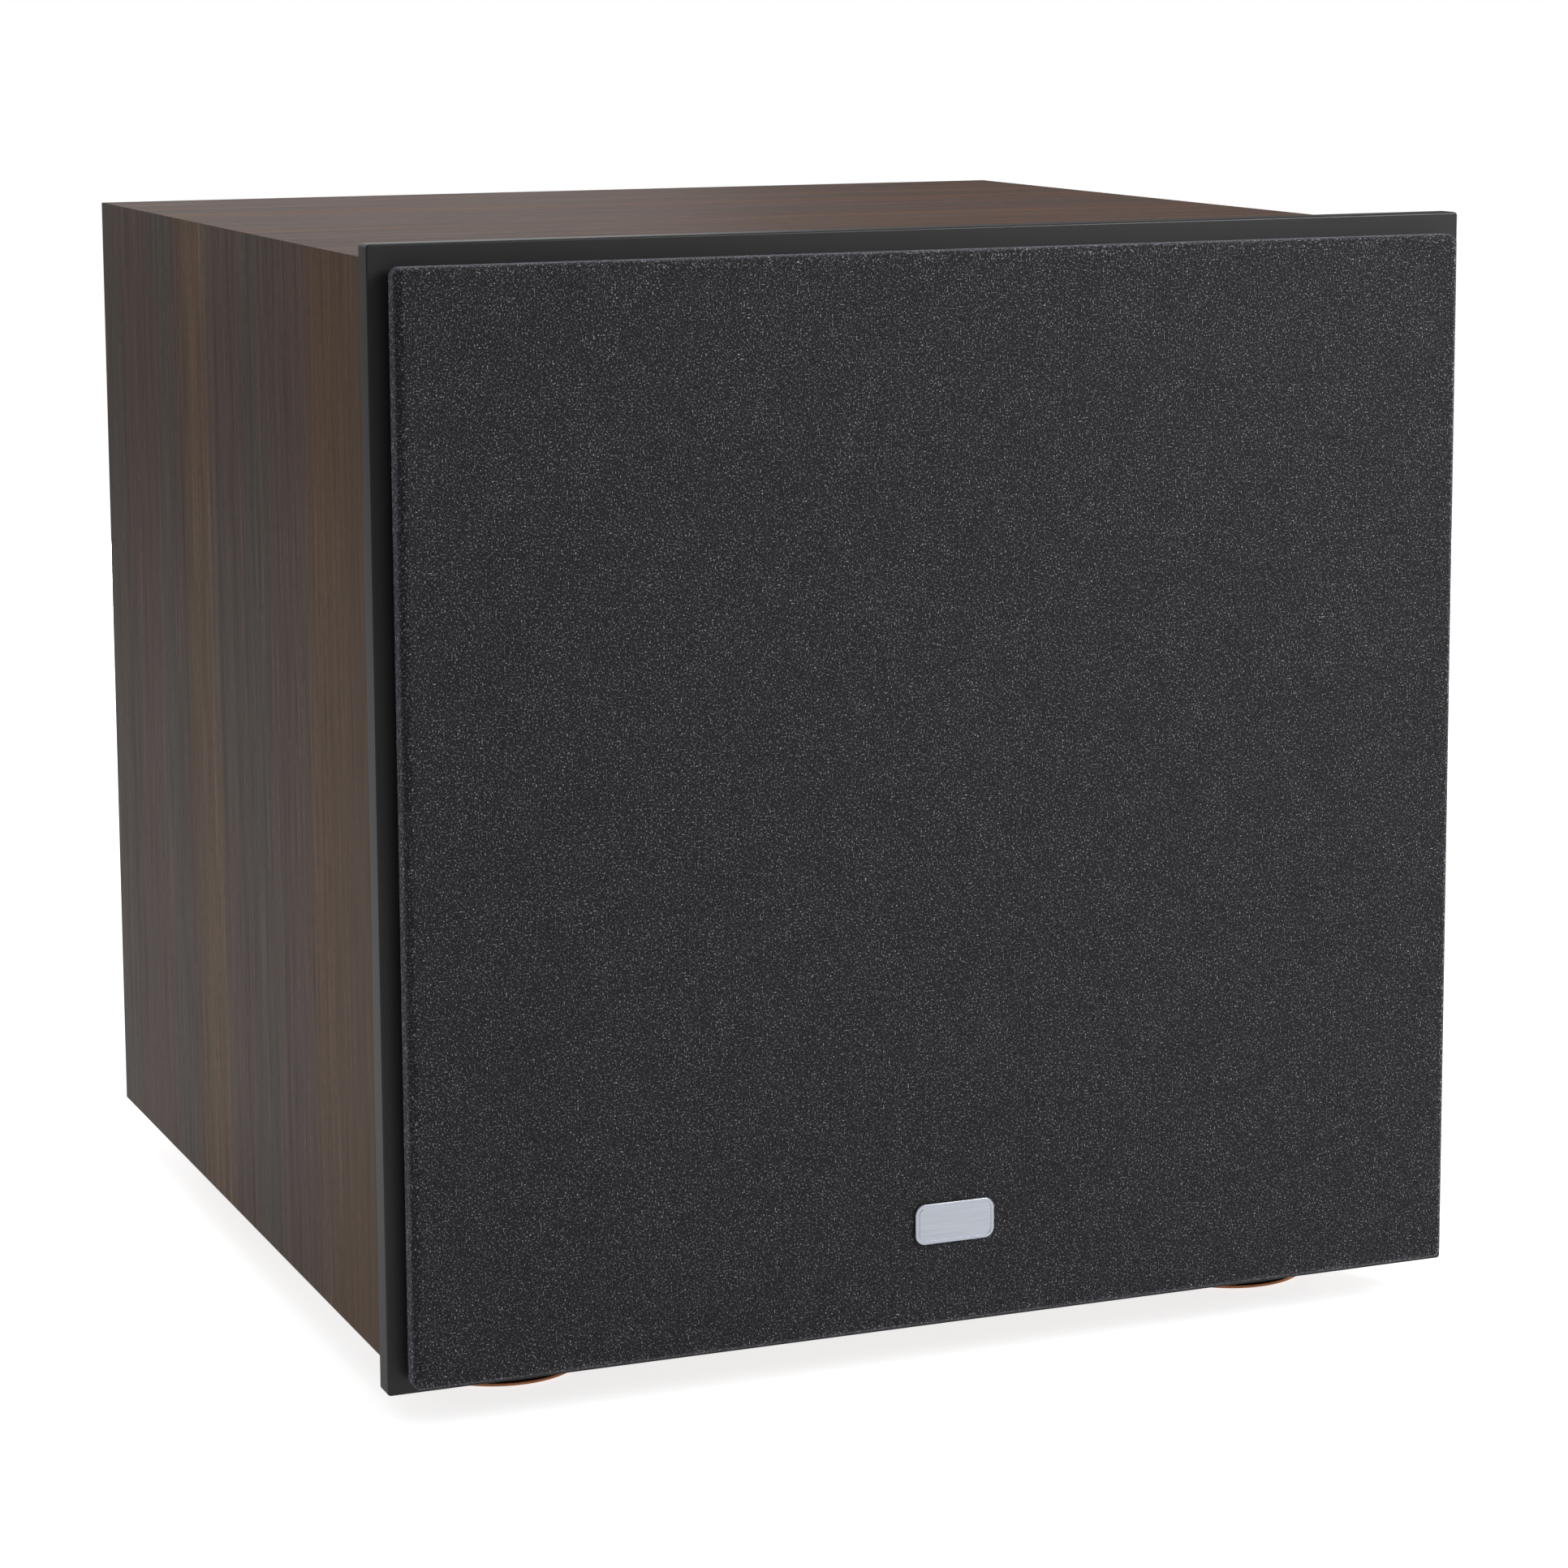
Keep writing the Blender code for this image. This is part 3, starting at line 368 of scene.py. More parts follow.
def piece(name, shape, material, body, replaced=(), sharp=SHARP):
    """Turns a bmesh into an object that rides on a body and stands for CAD nodes."""
    bmesh.ops.recalc_face_normals(shape, faces=shape.faces)
    mesh = bpy.data.meshes.new(name)
    shape.to_mesh(mesh)
    shape.free()
    mesh.materials.append(material)
    mesh.shade_smooth()
    mesh.set_sharp_from_angle(angle=sharp)
    obj = bpy.data.objects.new(name, mesh)
    bpy.context.scene.collection.objects.link(obj)
    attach(obj, body)
    if replaced:
        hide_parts(*replaced)
    return obj


def flat_faced(obj):
    """Keeps large flat faces evenly shaded beside their rounded edges."""
    normals = obj.modifiers.new("normals", "WEIGHTED_NORMAL")
    normals.keep_sharp = True


def softened(points, radius, count=3, closed=True):
    """The polyline with its corners rounded."""
    result = []
    last = len(points) - 1
    for i, point in enumerate(points):
        if not closed and i in (0, last):
            result.append(point)
            continue
        here = Vector(point)
        before = Vector(points[i - 1])
        after = Vector(points[(i + 1) % len(points)])
        reach = min(radius, 0.45 * (before - here).length, 0.45 * (after - here).length)
        start = here + (before - here).normalized() * reach
        end = here + (after - here).normalized() * reach
        for step in range(count + 1):
            share = step / count
            between = start * (1 - share) ** 2 + here * 2 * share * (1 - share) + end * share**2
            result.append(tuple(between))
    return result


def spot(place, a, b, height, axis):
    """The point at (a, b) across an axis through a place, and a height along it."""
    x, y, z = place
    if axis == "Y":
        return (x + a, y + height, z + b)
    return (x + a, y + b, z + height)


def lathed(profile, place, steps=96, axis="Y", closed=True, wave=None):
    """A ring or a solid turned from (radius, height) points, with heights running along the axis."""
    shape = bmesh.new()
    rings = []
    for index, (radius, height) in enumerate(profile):
        if radius < 1e-6:
            rings.append([shape.verts.new(spot(place, 0.0, 0.0, height, axis))])
            continue
        ring = []
        for step in range(steps):
            angle = math.tau * step / steps
            grown = radius + (wave(index, angle) if wave else 0.0)
            across = (grown * math.cos(angle), grown * math.sin(angle))
            ring.append(shape.verts.new(spot(place, *across, height, axis)))
        rings.append(ring)
    pairs = list(zip(rings, rings[1:]))
    if closed:
        pairs.append((rings[-1], rings[0]))
    for first, second in pairs:
        for step in range(steps):
            following = (step + 1) % steps
            corners = [
                first[step % len(first)],
                first[following % len(first)],
                second[following % len(second)],
                second[step % len(second)],
            ]
            corners = list(dict.fromkeys(corners))
            if len(corners) > 2:
                shape.faces.new(corners)
    return shape


def rounded_rectangle(x0, x1, z0, z1, radius, count=6):
    corners = (
        (x1 - radius, z0 + radius, -90),
        (x1 - radius, z1 - radius, 0),
        (x0 + radius, z1 - radius, 90),
        (x0 + radius, z0 + radius, 180),
    )
    points = []
    for x, z, start in corners:
        for i in range(count + 1):
            angle = math.radians(start + 90 * i / count)
            points.append((x + radius * math.cos(angle), z + radius * math.sin(angle)))
    return points


def circle(x, z, radius, count=64):
    angles = [math.tau * i / count for i in range(count)]
    return [(x + radius * math.cos(angle), z + radius * math.sin(angle)) for angle in angles]


def plate(outlines, y0, y1, edge=0.0, segments=3):
    """A plate in the XZ plane with holes, its rims rounded by edge on both faces."""
    curve = bpy.data.curves.new("outline", "CURVE")
    curve.dimensions = "2D"
    curve.fill_mode = "BOTH"
    curve.extrude = (y1 - y0) / 2 - edge
    curve.bevel_depth = edge
    curve.bevel_resolution = segments
    curve.offset = -edge
    for points in outlines:
        spline = curve.splines.new("POLY")
        spline.points.add(len(points) - 1)
        for point, (x, z) in zip(spline.points, points):
            point.co = (x, z, 0.0, 1.0)
        spline.use_cyclic_u = True
    source = bpy.data.objects.new("outline", curve)
    bpy.context.scene.collection.objects.link(source)
    graph = bpy.context.evaluated_depsgraph_get()
    mesh = bpy.data.meshes.new_from_object(source.evaluated_get(graph))
    shape = bmesh.new()
    shape.from_mesh(mesh)
    bmesh.ops.remove_doubles(shape, verts=shape.verts, dist=1e-6)
    for vert in shape.verts:
        x, z, depth = vert.co
        vert.co = (x, (y0 + y1) / 2 - depth, z)
    bpy.data.objects.remove(source)
    bpy.data.meshes.remove(mesh)
    return shape


def block(low, high, edge=0.0, segments=2):
    """A box between two corners, its edges rounded where edge is given."""
    shape = bmesh.new()
    bmesh.ops.create_cube(shape, size=1.0)
    low = Vector(low)
    high = Vector(high)
    bmesh.ops.scale(shape, vec=high - low, verts=shape.verts)
    bmesh.ops.translate(shape, vec=(low + high) / 2, verts=shape.verts)
    if edge:
        edges = list(shape.edges)
        bmesh.ops.bevel(shape, geom=edges, offset=edge, segments=segments, profile=0.5, affect="EDGES")
    return shape


def merged(*shapes):
    """One bmesh that holds several."""
    whole = bmesh.new()
    for shape in shapes:
        mesh = bpy.data.meshes.new("part")
        shape.to_mesh(mesh)
        shape.free()
        whole.from_mesh(mesh)
        bpy.data.meshes.remove(mesh)
    return whole


def cut_away(obj, *cutters):
    """Cuts shapes out of a finished piece, exactly."""
    for shape in cutters:
        bmesh.ops.recalc_face_normals(shape, faces=shape.faces)
        mesh = bpy.data.meshes.new("cutter")
        shape.to_mesh(mesh)
        shape.free()
        tool = bpy.data.objects.new("cutter", mesh)
        bpy.context.scene.collection.objects.link(tool)
        modifier = obj.modifiers.new("cut", "BOOLEAN")
        modifier.operation = "DIFFERENCE"
        modifier.object = tool
        graph = bpy.context.evaluated_depsgraph_get()
        result = bpy.data.meshes.new_from_object(obj.evaluated_get(graph))
        obj.modifiers.remove(modifier)
        old = obj.data
        obj.data = result
        bpy.data.meshes.remove(old)
        bpy.data.objects.remove(tool)
        bpy.data.meshes.remove(mesh)
    obj.data.set_sharp_from_angle(angle=SHARP)


def dress(material, *names):
    """Gives carried-over CAD nodes a finished material."""
    for name in names:
        for slot in nodes[name].material_slots:
            slot.material = material


def middle(name):
    low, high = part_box(name)
    return (low + high) / 2


def nodes_called(start):
    return [name for name in nodes if name.startswith(start)]


# ---- cabinet ------------------------------------------------------------------------------------

SEAM = 0.00004  # left open at each mitre, so that neighbours don't share a face
SLAB_CORNER_R = 0.0012
SLAB_EDGE_R = 0.0006
DRIVER_OPENING_R = 0.155
SOCKET_HOLE_R = 0.0068


def panel(name, corners, y0, y1, material):
    """A mitred board: its outer faces in the wrap and its front and back edges in the plain wrap."""
    shape = bmesh.new()
    near = [shape.verts.new((x, y0, z)) for x, z in corners]
    far = [shape.verts.new((x, y1, z)) for x, z in corners]
    shape.faces.new(near)
    shape.faces.new(list(reversed(far)))
    for i in range(4):
        j = (i + 1) % 4
        shape.faces.new((near[j], near[i], far[i], far[j]))
    obj = piece(name + "_wrapped", shape, material, "enclosure", (name,))
    obj.data.materials.append(WOOD_BACK)
    for face in obj.data.polygons:
        if abs(face.normal.y) > 0.9:
            face.material_index = 1


def build_cabinet():
    low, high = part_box("left_panel")
    x0, x1 = low.x, high.x
    y0, y1 = low.y, high.y
    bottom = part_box("bottom_panel")[0].z
    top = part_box("top_panel")[1].z
    wall = x1 - x0
    z0, z1 = bottom + wall, top - wall
    s = SEAM
    left = [(x0, bottom + s), (x1, z0 + s), (x1, z1 - s), (x0, top - s)]
    over = [(x0 + s, top), (x1 + s, z1), (-x1 - s, z1), (-x0 - s, top)]
    under = [(x0 + s, bottom), (x1 + s, z0), (-x1 - s, z0), (-x0 - s, bottom)]
    panel("left_panel", left, y0, y1, WOOD_SIDE)
    panel("right_panel", [(-x, z) for x, z in left], y0, y1, WOOD_SIDE)
    panel("top_panel", over, y0, y1, WOOD_TOP_LIGHTENED)
    panel("bottom_panel", under, y0, y1, WOOD_TOP_LIGHTENED)
    dress(WOOD_BACK, "back_panel")
    dress(BOARD, "inner_baffle", "window_brace")


def build_slab():
    low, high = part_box("front_baffle")
    driver = middle("driver_basket")
    outlines = [
        rounded_rectangle(low.x, high.x, low.z, high.z, SLAB_CORNER_R, 4),
        circle(driver.x, driver.z, DRIVER_OPENING_R, 128),
    ]
    sockets = nodes_called("peg_socket_")
    for name in sockets:
        at = middle(name)
        outlines.append(circle(at.x, at.z, SOCKET_HOLE_R, 24))
    slab = plate(outlines, low.y, high.y, SLAB_EDGE_R, 2)
    flat_faced(piece("front_slab", slab, SLAB, "enclosure", ("front_baffle",)))

    cup = [(0.0, 0.0075), (0.0040, 0.0075), (0.0040, 0.0004), (0.0064, 0.0), (0.0066, 0.0086), (0.0, 0.0086)]
    profile = softened(cup, 0.0005, 2, closed=False)
    for name in sockets:
        at = middle(name)
        shape = lathed(profile, (at.x, low.y, at.z), 32, closed=False)
        piece(name + "_cup", shape, RUBBER, "enclosure", (name,))


# ---- grille -------------------------------------------------------------------------------------

CLOTH_T = 0.0008
CLOTH_BEND = 0.003
CLOTH_CORNER_R = 0.0030
BADGE_CORNER_R = 0.0035
BADGE_GROOVE = (0.0011, 0.0015)
BADGE_GROOVE_DEPTH = 0.0002


def cloth_shape(low, high, bend):
    """A stretched front with bent edges, as one sheet that is open behind."""
    shape = bmesh.new()
    steps = 7
    outer = [(high.y, 0.0)]
    for i in range(steps + 1):
        angle = math.pi / 2 * i / steps
        outer.append((low.y + bend * (1 - math.sin(angle)), bend * (1 - math.cos(angle))))
    rims = []
    for y, inset in outer:
        radius = max(CLOTH_CORNER_R - inset, 0.0004)
        rim = rounded_rectangle(low.x + inset, high.x - inset, low.z + inset, high.z - inset, radius, 5)
        rims.append([shape.verts.new((x, y, z)) for x, z in rim])
    for first, second in zip(rims, rims[1:]):
        for i in range(len(first)):
            j = (i + 1) % len(first)
            shape.faces.new((first[i], first[j], second[j], second[i]))
    shape.faces.new(rims[-1])
    return shape


def build_grille():
    low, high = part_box("grille_cloth")
    shape = cloth_shape(low, high, CLOTH_BEND)
    cloth = piece("grille_knit_cloth", shape, CLOTH, "grille", ("grille_cloth",))
    shell = cloth.modifiers.new("thickness", "SOLIDIFY")
    shell.thickness = CLOTH_T
    shell.offset = -1.0
    flat_faced(cloth)
    dress(PLASTIC, "grille_frame", *nodes_called("grille_peg_"))

    low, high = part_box("badge")
    outline = rounded_rectangle(low.x, high.x, low.z, high.z, BADGE_CORNER_R, 8)
    shape = plate([outline], low.y, high.y, 0.0003, 3)
    plaque = piece("badge_plaque", shape, SILVER, "grille", ("badge",))
    border = []
    for inset in BADGE_GROOVE:
        x0, x1, z0, z1 = low.x + inset, high.x - inset, low.z + inset, high.z - inset
        border.append(rounded_rectangle(x0, x1, z0, z1, BADGE_CORNER_R - inset, 8))
    cut_away(plaque, plate(border, low.y - 0.0005, low.y + BADGE_GROOVE_DEPTH))
    flat_faced(plaque)


# ---- driver -------------------------------------------------------------------------------------

ROLL_R = 0.0095
ROLL_RISE = 0.0088
ROLL_CENTRE_R = 0.1255
ROLL_SHEET = 0.0008
ROLL_LOW, ROLL_TOP = -0.0003, -0.0011
CONE_R, CONE_NECK_R, CONE_RIM_R = 0.1085, 0.0254, 0.1160
CONE_DEPTH = 0.0450
CONE_T = 0.0010
RIDGE_HEIGHT, RIDGE_PITCH = 0.00035, 0.0016
RIDGE_MIDDLE_R, RIDGE_REACH, RIDGE_START_R = 0.077, 0.019, 0.062
CAP_R, CAP_RISE = 0.044, 0.0105


def cone_depth(radius):
    return CONE_DEPTH * max((CONE_R - radius) / (CONE_R - CONE_NECK_R), 0.0) ** 0.85


def cone_ridge(radius):
    if abs(radius - RIDGE_MIDDLE_R) >= RIDGE_REACH:
        return 0.0
    return RIDGE_HEIGHT * max(0.0, math.cos((radius - RIDGE_START_R) / RIDGE_PITCH))


def build_driver():
    low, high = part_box("driver_basket")
    at = (0.0, low.y, (low.z + high.z) / 2)

    outer, inner = [], []
    for i in range(25):
        angle = math.pi * i / 24
        rise = ROLL_RISE * math.sin(angle)
        outer.append((ROLL_CENTRE_R + ROLL_R * math.cos(angle), ROLL_TOP - rise))
        inner.append((ROLL_CENTRE_R + (ROLL_R - ROLL_SHEET) * math.cos(angle), ROLL_LOW - rise))
    profile = [(0.1430, ROLL_LOW), (0.1352, ROLL_LOW), *inner, (CONE_R, ROLL_LOW), (CONE_R, ROLL_TOP)]
    profile += [*reversed(outer), (0.1430, ROLL_TOP)]
    piece("surround_roll", lathed(profile, at, 160), ROLL, "enclosure", ("surround",))

    front, rear = [], []
    for i in range(25):
        radius = CONE_R + (CONE_NECK_R - CONE_R) * i / 24
        front.append((radius, cone_depth(radius) - cone_ridge(radius)))
        rear.append((radius, cone_depth(radius) + CONE_T))
    profile = [(CONE_RIM_R, 0.0), (CONE_RIM_R, CONE_T), *rear, *reversed(front)]
    piece("cone_pressed", lathed(profile, at, 160), PULP, "driver_motion", ("cone",))

    foot = cone_depth(CAP_R) - 0.0004
    over, under = [], []
    for i in range(19):
        rise = CAP_RISE * (1 - (i / 18) ** 2)
        over.append((CAP_R * i / 18, foot - 0.0008 - rise))
        under.append(((CAP_R - 0.0006) * i / 18, foot - rise))
    dome = lathed(over + list(reversed(under)), at, 128, closed=False)
    piece("dust_cap_dome", dome, PULP, "driver_motion", ("dust_cap",))

    ring = softened([(0.1365, -0.0014), (0.1365, -0.0044), (0.1435, -0.0042), (0.1435, -0.0014)], 0.0010, 3)
    piece("driver_gasket_ring", lathed(ring, at, 160), RUBBER, "enclosure", ("driver_gasket",))

    dress(PAINT, "driver_basket")
    dress(LINEN, "spider")
    dress(AMBER, "voice_coil_former")
    dress(WINDING, "voice_coil", "transformer")
    dress(ZINC, "top_plate", "yoke")
    dress(FERRITE, "magnet")
    dress(PLASTIC, "terminal_strip")
    dress(RUBBER, "speaker_lead")
    for i in range(4):
        screw_head(f"driver_screw_{i + 1}")


def screw_head(name):
    """A pan head with a hexagonal socket and its shank."""
    low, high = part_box(name)
    at = ((low.x + high.x) / 2, low.y, (low.z + high.z) / 2)
    profile = [
        (0.0, 0.0),
        (0.0024, 0.0),
        (0.0035, 0.0010),
        (0.0035, 0.0023),
        (0.0019, 0.0023),
        (0.0019, 0.0186),
        (0.0, 0.0210),
    ]
    shape = lathed(softened(profile, 0.0005, 3, closed=False), at, 32, closed=False)
    head = piece(name + "_detailed", shape, STEEL, "enclosure", (name,))
    socket = [(0.0, -0.001), (0.0016, -0.001), (0.0016, 0.0012), (0.0, 0.0014)]
    cut_away(head, lathed(socket, at, 6, closed=False))


# ---- back ---------------------------------------------------------------------------------------

PORT_R = 0.0375
PORT_ROUND = 0.0125
PORT_MOUTH_DEPTH = 0.015
TUBE_R, TUBE_OUTER_R = 0.0405, 0.0430
KNOB_HOLE_R, JACK_HOLE_R, LAMP_HOLE_R = 0.0036, 0.0049, 0.0030
SLIDE_WINDOW, ROCKER_WINDOW, INLET_WINDOW = (0.0040, 0.0019), (0.0067, 0.0107), (0.0140, 0.0100)
SLIDE_MIDDLE = 0.002  # from a slide switch at rest to the middle of its window
TICK_REACH = 0.0118
ROCKER_TILT = math.radians(7.0)


def build_port():
    low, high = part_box("port_flare")
    at = (0.0, high.y, (low.z + high.z) / 2)
    mouth = []
    for i in range(15):
        angle = math.pi / 2 * i / 14
        radius = PORT_R + PORT_ROUND * (1 - math.cos(angle))
        mouth.append((radius, -PORT_MOUTH_DEPTH + PORT_MOUTH_DEPTH * math.sin(angle)))
    outer = [
        (0.0548, 0.0),
        (0.0550, -0.0030),
        (0.0456, -0.0030),
        (0.0430, -0.0113),
        (0.0402, -0.0193),
        (0.0402, -0.0353),
        (PORT_R, -0.0353),
    ]
    flare = lathed(outer + mouth, at, 128)
    piece("port_flare_smooth", flare, PLASTIC, "enclosure", ("port_flare",))
    low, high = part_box("port_tube")
    at = (0.0, low.y, at[2])
    length = high.y - low.y
    tube = lathed([(TUBE_R, 0.0), (TUBE_OUTER_R, 0.0), (TUBE_OUTER_R, length), (TUBE_R, length)], at, 96)
    piece("port_tube_smooth", tube, PLASTIC, "enclosure", ("port_tube",))


def bar(x, z, y, length, width, angle, height=0.00012):
    """A thin bar on a face that looks to the rear, its length at an angle from up."""
    shape = block((-width / 2, y, -length / 2), (width / 2, y + height, length / 2))
    bmesh.ops.rotate(shape, matrix=Matrix.Rotation(angle, 3, "Y"), verts=shape.verts)
    bmesh.ops.translate(shape, vec=(x, 0.0, z), verts=shape.verts)
    return shape


def centred(at, half_w, half_h, radius, count):
    return rounded_rectangle(at.x - half_w, at.x + half_w, at.z - half_h, at.z + half_h, radius, count)


def build_plate(face, back):
    """The amplifier's plate with its openings, screws, printed marks and bezels."""
    low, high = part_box("amp_plate")
    knobs = [middle("volume_knob"), middle("crossover_knob")]
    jacks = [middle("line_in_jack_left"), middle("line_in_jack_right")]
    offset = Vector((SLIDE_MIDDLE, 0.0, 0.0))
    windows = [middle("phase_switch") + offset, middle("auto_on_switch") + offset]
    lamp = middle("status_lamp")
    rocker = middle("power_rocker")
    inlet = middle("mains_inlet")
    outlines = [rounded_rectangle(low.x, high.x, low.z, high.z, 0.006, 8)]
    outlines += [circle(at.x, at.z, KNOB_HOLE_R, 32) for at in knobs]
    outlines += [circle(at.x, at.z, JACK_HOLE_R, 32) for at in jacks]
    outlines.append(circle(lamp.x, lamp.z, LAMP_HOLE_R, 32))
    outlines += [centred(at, *SLIDE_WINDOW, 0.0004, 2) for at in windows]
    outlines.append(centred(rocker, *ROCKER_WINDOW, 0.0004, 2))
    outlines.append(centred(inlet, *INLET_WINDOW, 0.0004, 2))
    pressed = plate(outlines, back, face, 0.0004, 2)
    flat_faced(piece("amp_plate_pressed", pressed, PAINT, "enclosure", ("amp_plate",)))

    heads = []
    for x in (-0.112, -0.038, 0.038, 0.112):
        heads += [(x, low.z + 0.008), (x, high.z - 0.008)]
    heads += [(side * 0.112, z) for side in (-1, 1) for z in (0.098, 0.162)]
    profile = softened([(0.0, 0.0013), (0.0022, 0.0011), (0.0033, 0.0), (0.0, 0.0)], 0.0003, 3, closed=False)
    for i, (x, z) in enumerate(heads):
        shape = lathed(profile, (x, face, z), 32, closed=False)
        head = piece(f"plate_screw_{i + 1}", shape, STEEL, "enclosure", ())
        turned_by = 0.4 + 0.9 * i
        slots = [
            bar(x, z, face + 0.0006, 0.0032, 0.0006, angle, 0.002)
            for angle in (turned_by, turned_by + math.pi / 2)
        ]
        cut_away(head, *slots)

    marks = []
    for at in knobs:
        for i in range(11):
            angle = math.radians(-150 + 30 * i)
            long = 0.0026 if i % 5 == 0 else 0.0017
            x, z = at.x + TICK_REACH * math.sin(angle), at.z + TICK_REACH * math.cos(angle)
            marks.append(bar(x, z, face, long, 0.0005, angle))
    for at in windows:
        for side in (-1, 1):
            marks.append(bar(at.x + side * 0.0024, at.z + 0.0046, face, 0.0016, 0.0005, 0.0))
    x0, x1 = jacks[1].x - 0.0115, jacks[0].x + 0.0115
    z0, z1 = jacks[0].z - 0.0105, jacks[0].z + 0.0105
    for z in (z0, z1):
        marks.append(bar((x0 + x1) / 2, z, face, x1 - x0, 0.0004, math.pi / 2))
    for x in (x0, x1):
        marks.append(bar(x, (z0 + z1) / 2, face, z1 - z0, 0.0004, 0.0))
    piece("plate_marks", merged(*marks), MARK, "enclosure", ())

    ring = softened([(0.0030, 0.0), (0.0046, 0.0), (0.0044, 0.0008), (0.0032, 0.0011)], 0.0003, 2)
    shape = lathed(ring, (lamp.x, face, lamp.z), 48)
    piece("lamp_bezel", shape, KNOB, "enclosure", ())

    frame_outlines = [centred(rocker, 0.0086, 0.0126, 0.0014, 5), centred(rocker, 0.0066, 0.0106, 0.0005, 3)]
    bezel = plate(frame_outlines, face, face + 0.0014, 0.0004, 2)
    flat_faced(piece("rocker_bezel", bezel, KNOB, "enclosure", ()))


def build_knob(name, body):
    """A knob with a fluted skirt and a white pointer, which points up at rest."""
    low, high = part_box(name)
    at = ((low.x + high.x) / 2, 0.0, (low.z + high.z) / 2)
    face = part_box("amp_plate")[1].y
    profile = [
        (0.0, high.y - 0.0004),
        (0.0050, high.y - 0.0004),
        (0.0062, high.y),
        (0.0070, high.y - 0.0002),
        (0.0075, high.y - 0.0010),
        (0.0077, high.y - 0.0030),
        (0.0083, face + 0.0022),
        (0.0085, face + 0.0020),
        (0.0085, face + 0.0006),
        (0.0030, face + 0.0006),
        (0.0030, low.y),
        (0.0, low.y),
    ]

    def flute(index, angle):
        return -0.00022 * (1 - math.cos(24 * angle)) if index in (5, 6) else 0.0

    knob = lathed(profile, at, 192, closed=False, wave=flute)
    piece(name + "_fluted", knob, KNOB, body, (name,), math.radians(50))
    pointer = merged(bar(at[0], at[2] + 0.0037, high.y - 0.0005, 0.0060, 0.0008, 0.0, 0.0005))
    piece(name + "_pointer", pointer, MARK, body, ())


def build_jack(name, ring, face):
    """A phono socket: a gold sleeve, an insert in its bore and a coloured washer."""
    at = (middle(name).x, face, middle(name).z)
    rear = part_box(name)[0].y - face
    profile = [
        (0.0020, 0.0030),
        (0.0020, 0.0086),
        (0.0033, 0.0088),
        (0.0041, 0.0084),
        (0.0041, 0.0018),
        (0.0062, 0.0018),
        (0.0063, 0.0003),
        (0.0044, 0.0003),
        (0.0044, rear),
        (0.0, rear),
        (0.0, 0.0030),
    ]
    jack = lathed(softened(profile, 0.0002, 2, closed=False), at, 64, closed=False)
    piece(name + "_turned", jack, GOLD, "enclosure", (name,))
    insert = [(0.0008, 0.0031), (0.0008, 0.0079), (0.0019, 0.0079), (0.0019, 0.0031)]
    piece(name + "_insert", lathed(insert, at, 48), ring, "enclosure", ())
    washer = [(0.0064, 0.00005), (0.0080, 0.00005), (0.0079, 0.0011), (0.0065, 0.0011)]
    piece(name + "_washer", lathed(washer, at, 64), ring, "enclosure", ())


def build_amplifier():
    back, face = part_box("amp_plate")[0].y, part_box("amp_plate")[1].y
    build_plate(face, back)
    build_knob("volume_knob", "volume_control")
    build_knob("crossover_knob", "crossover_control")
    build_jack("line_in_jack_left", WHITE, face)
    build_jack("line_in_jack_right", RED, face)

    inlet = middle("mains_inlet")
    pins = []
    for dx, dz in ((-0.007, -0.002), (0.0, 0.002), (0.007, -0.002)):
        x, z = inlet.x + dx, inlet.z + dz
        near = (x - 0.00105, back - 0.0159, z - 0.00205)
        far = (x + 0.00105, back - 0.00490, z + 0.00205)
        pins.append(block(near, far, 0.0004, 2))
    piece("inlet_pins", merged(*pins), ZINC, "enclosure", ())

    rocker = middle("power_rocker")
    pivot = Vector((rocker.x, face - 0.001, rocker.z))
    ring = [(0.0012, 0.0040), (0.0018, 0.0040), (0.0018, 0.00408), (0.0012, 0.00408)]
    signs = merged(
        bar(0.0, 0.0052, 0.0040, 0.0034, 0.0006, 0.0, 0.00008),
        lathed(ring, (0.0, 0.0, -0.0052), 32),
    )
    bmesh.ops.rotate(signs, matrix=Matrix.Rotation(ROCKER_TILT, 3, "X"), verts=signs.verts)
    bmesh.ops.translate(signs, vec=pivot, verts=signs.verts)
    piece("rocker_signs", signs, MARK, "power_control", ())

    dress(LAMINATE, "circuit_board")
    dress(RAW, "heatsink")
    dress(SLEEVE, "capacitor")
    dress(KNOB, "phase_switch", "auto_on_switch", "power_rocker")
    dress(PLASTIC, "mains_inlet")
    dress(LAMP, "status_lamp")


# ---- feet ---------------------------------------------------------------------------------------

RING_WIDTH = 0.0023
RING_HEIGHT = 0.0012
FOOT_STEP = 0.0022  # both how high and how far in the foot's narrow end is


def build_feet():
    for name in nodes_called("foot_"):
        low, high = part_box(name)
        at = ((low.x + high.x) / 2, (low.y + high.y) / 2, 0.0)
        radius = (high.x - low.x) / 2
        if name.startswith("foot_ring_"):
            profile = [
                (radius - RING_WIDTH, low.z),
                (radius - 0.0002, low.z),
                (radius, low.z + RING_HEIGHT / 2),
                (radius - 0.0002, low.z + RING_HEIGHT),
                (radius - RING_WIDTH, low.z + RING_HEIGHT),
            ]
            shape = lathed(softened(profile, 0.0003, 3), at, 96, axis="Z")
            piece(name + "_turned", shape, COPPER, "enclosure", (name,))
        else:
            profile = [
                (0.0, high.z),
                (radius - 0.0008, high.z),
                (radius, high.z - 0.0010),
                (radius, FOOT_STEP),
                (radius - FOOT_STEP, FOOT_STEP),
                (radius - FOOT_STEP, 0.0),
                (0.0, 0.0),
            ]
            shape = lathed(softened(profile, 0.0006, 3, closed=False), at, 96, axis="Z", closed=False)
            piece(name + "_turned", shape, RUBBER, "enclosure", (name,))


build_cabinet()
build_slab()
build_grille()
build_driver()
build_port()
build_amplifier()
build_feet()

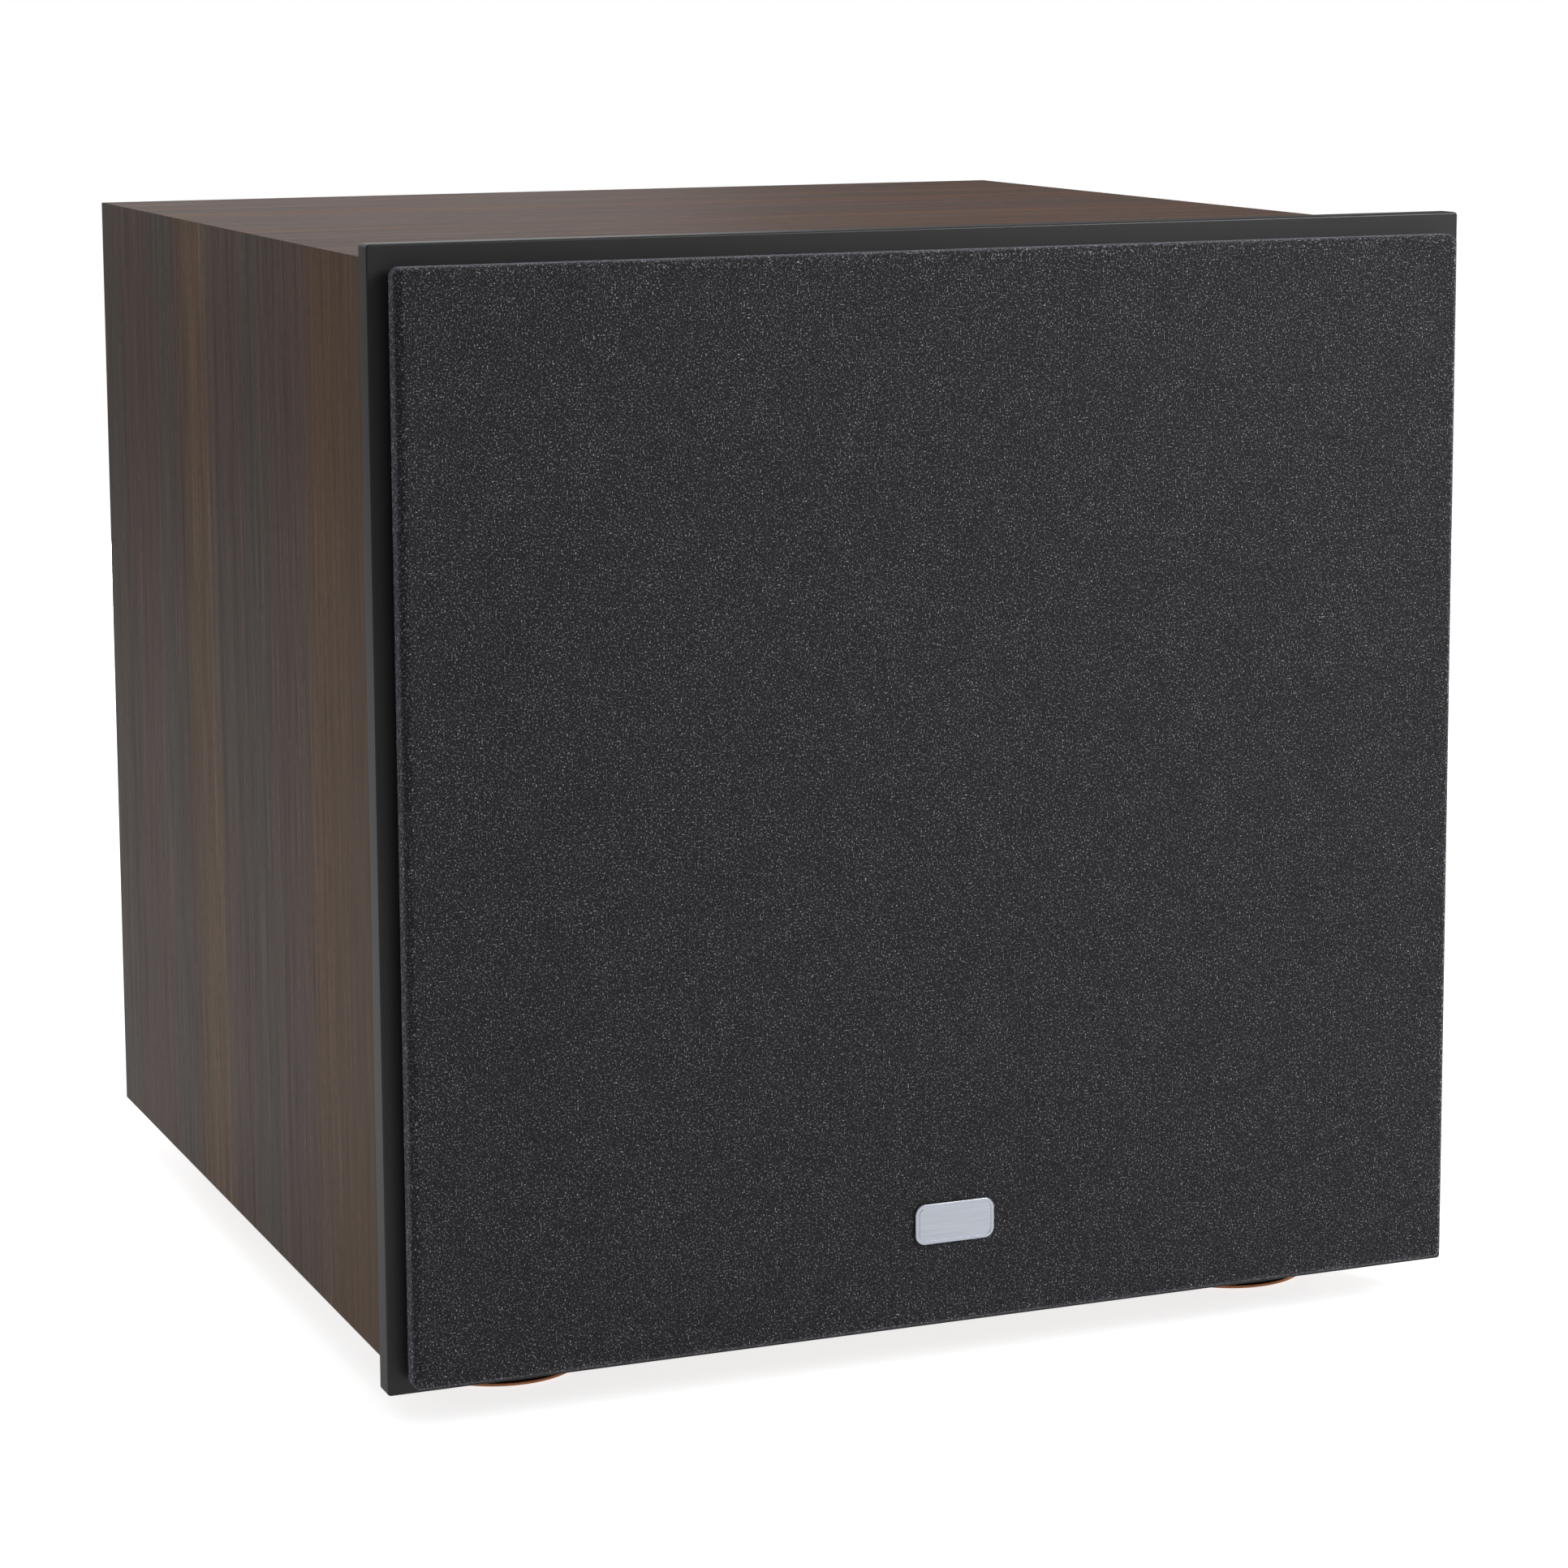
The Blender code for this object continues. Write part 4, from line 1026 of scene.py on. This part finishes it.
# ---- stage --------------------------------------------------------------------------------------

ROOM_LIGHT = 0.25
FLOOR_NEAR = 0.24
FLOOR_FAR = 0.0
FLOOR_SEEN = 0.80
# Each softbox: name, place, aim, width and height in metres, power in watts.
SOFTBOXES = (
    ("light_top", (-0.1, 0.4, 1.8), (0.0, 0.0, 0.35), 1.6, 1.6, 8.0),
    ("light_right", (0.62, -0.94, 0.78), (0.12, -0.2, 0.28), 0.5, 0.5, 8.0),
    ("light_rear", (0.62, 1.9, 0.16), (0.0, 0.0, 0.16), 1.2, 0.30, 10.0),
    ("light_far_side", (2.0, 0.5, 0.16), (0.0, 0.1, 0.16), 1.4, 0.30, 8.0),
    ("light_back", (0.05, 2.2, 0.75), (0.0, 0.0, 0.35), 1.6, 0.9, 4.2),
)


def softbox(name, place, aim, width, height, power):
    data = bpy.data.lights.new(name, "AREA")
    data.shape = "RECTANGLE"
    data.size = width
    data.size_y = height
    data.energy = power
    lamp = bpy.data.objects.new(name, data)
    bpy.context.scene.collection.objects.link(lamp)
    lamp.location = place
    lamp.rotation_euler = (Vector(aim) - Vector(place)).to_track_quat("-Z", "Y").to_euler()
    lamp.visible_camera = False


def stage():
    """A white room and floor, dimmer in reflections than to the eye, and the softboxes."""
    world = bpy.data.worlds.new("studio")
    bpy.context.scene.world = world
    world.use_nodes = True
    tree = world.node_tree
    seen = tree.nodes.new("ShaderNodeLightPath").outputs["Is Camera Ray"]
    glow = tree.nodes.new("ShaderNodeMapRange")
    glow.inputs["To Min"].default_value = ROOM_LIGHT
    glow.inputs["To Max"].default_value = 1.0
    tree.links.new(seen, glow.inputs["Value"])
    tree.links.new(glow.outputs["Result"], tree.nodes["Background"].inputs["Strength"])
    tree.nodes["Background"].inputs["Color"].default_value = (1.0, 1.0, 1.0, 1.0)

    shape = bmesh.new()
    bmesh.ops.create_grid(shape, x_segments=1, y_segments=1, size=12.0)
    mesh = bpy.data.meshes.new("floor")
    shape.to_mesh(mesh)
    shape.free()
    floor = bpy.data.objects.new("floor", mesh)
    bpy.context.scene.collection.objects.link(floor)
    s = Shade("floor_white", (0.85, 0.85, 0.85), 0.8)
    s.set(s.shader, "Emission Color", (1.0, 1.0, 1.0, 1.0))
    distance = s.tree.nodes.new("ShaderNodeVectorMath")
    distance.operation = "LENGTH"
    s.set(distance, 0, s.coords)
    fall = s.span(distance.outputs["Value"], 0.3, 2.0, FLOOR_NEAR, FLOOR_FAR)
    seen = s.tree.nodes.new("ShaderNodeLightPath").outputs["Is Camera Ray"]
    glow = s.tree.nodes.new("ShaderNodeMix")
    s.set(glow, 0, seen)
    s.set(glow, 2, fall)
    s.set(glow, 3, FLOOR_SEEN)
    s.set(s.shader, "Emission Strength", glow.outputs[0])
    mesh.materials.append(s.material)

    for box in SOFTBOXES:
        softbox(*box)


bpy.context.scene.view_settings.view_transform = "Standard"
stage()
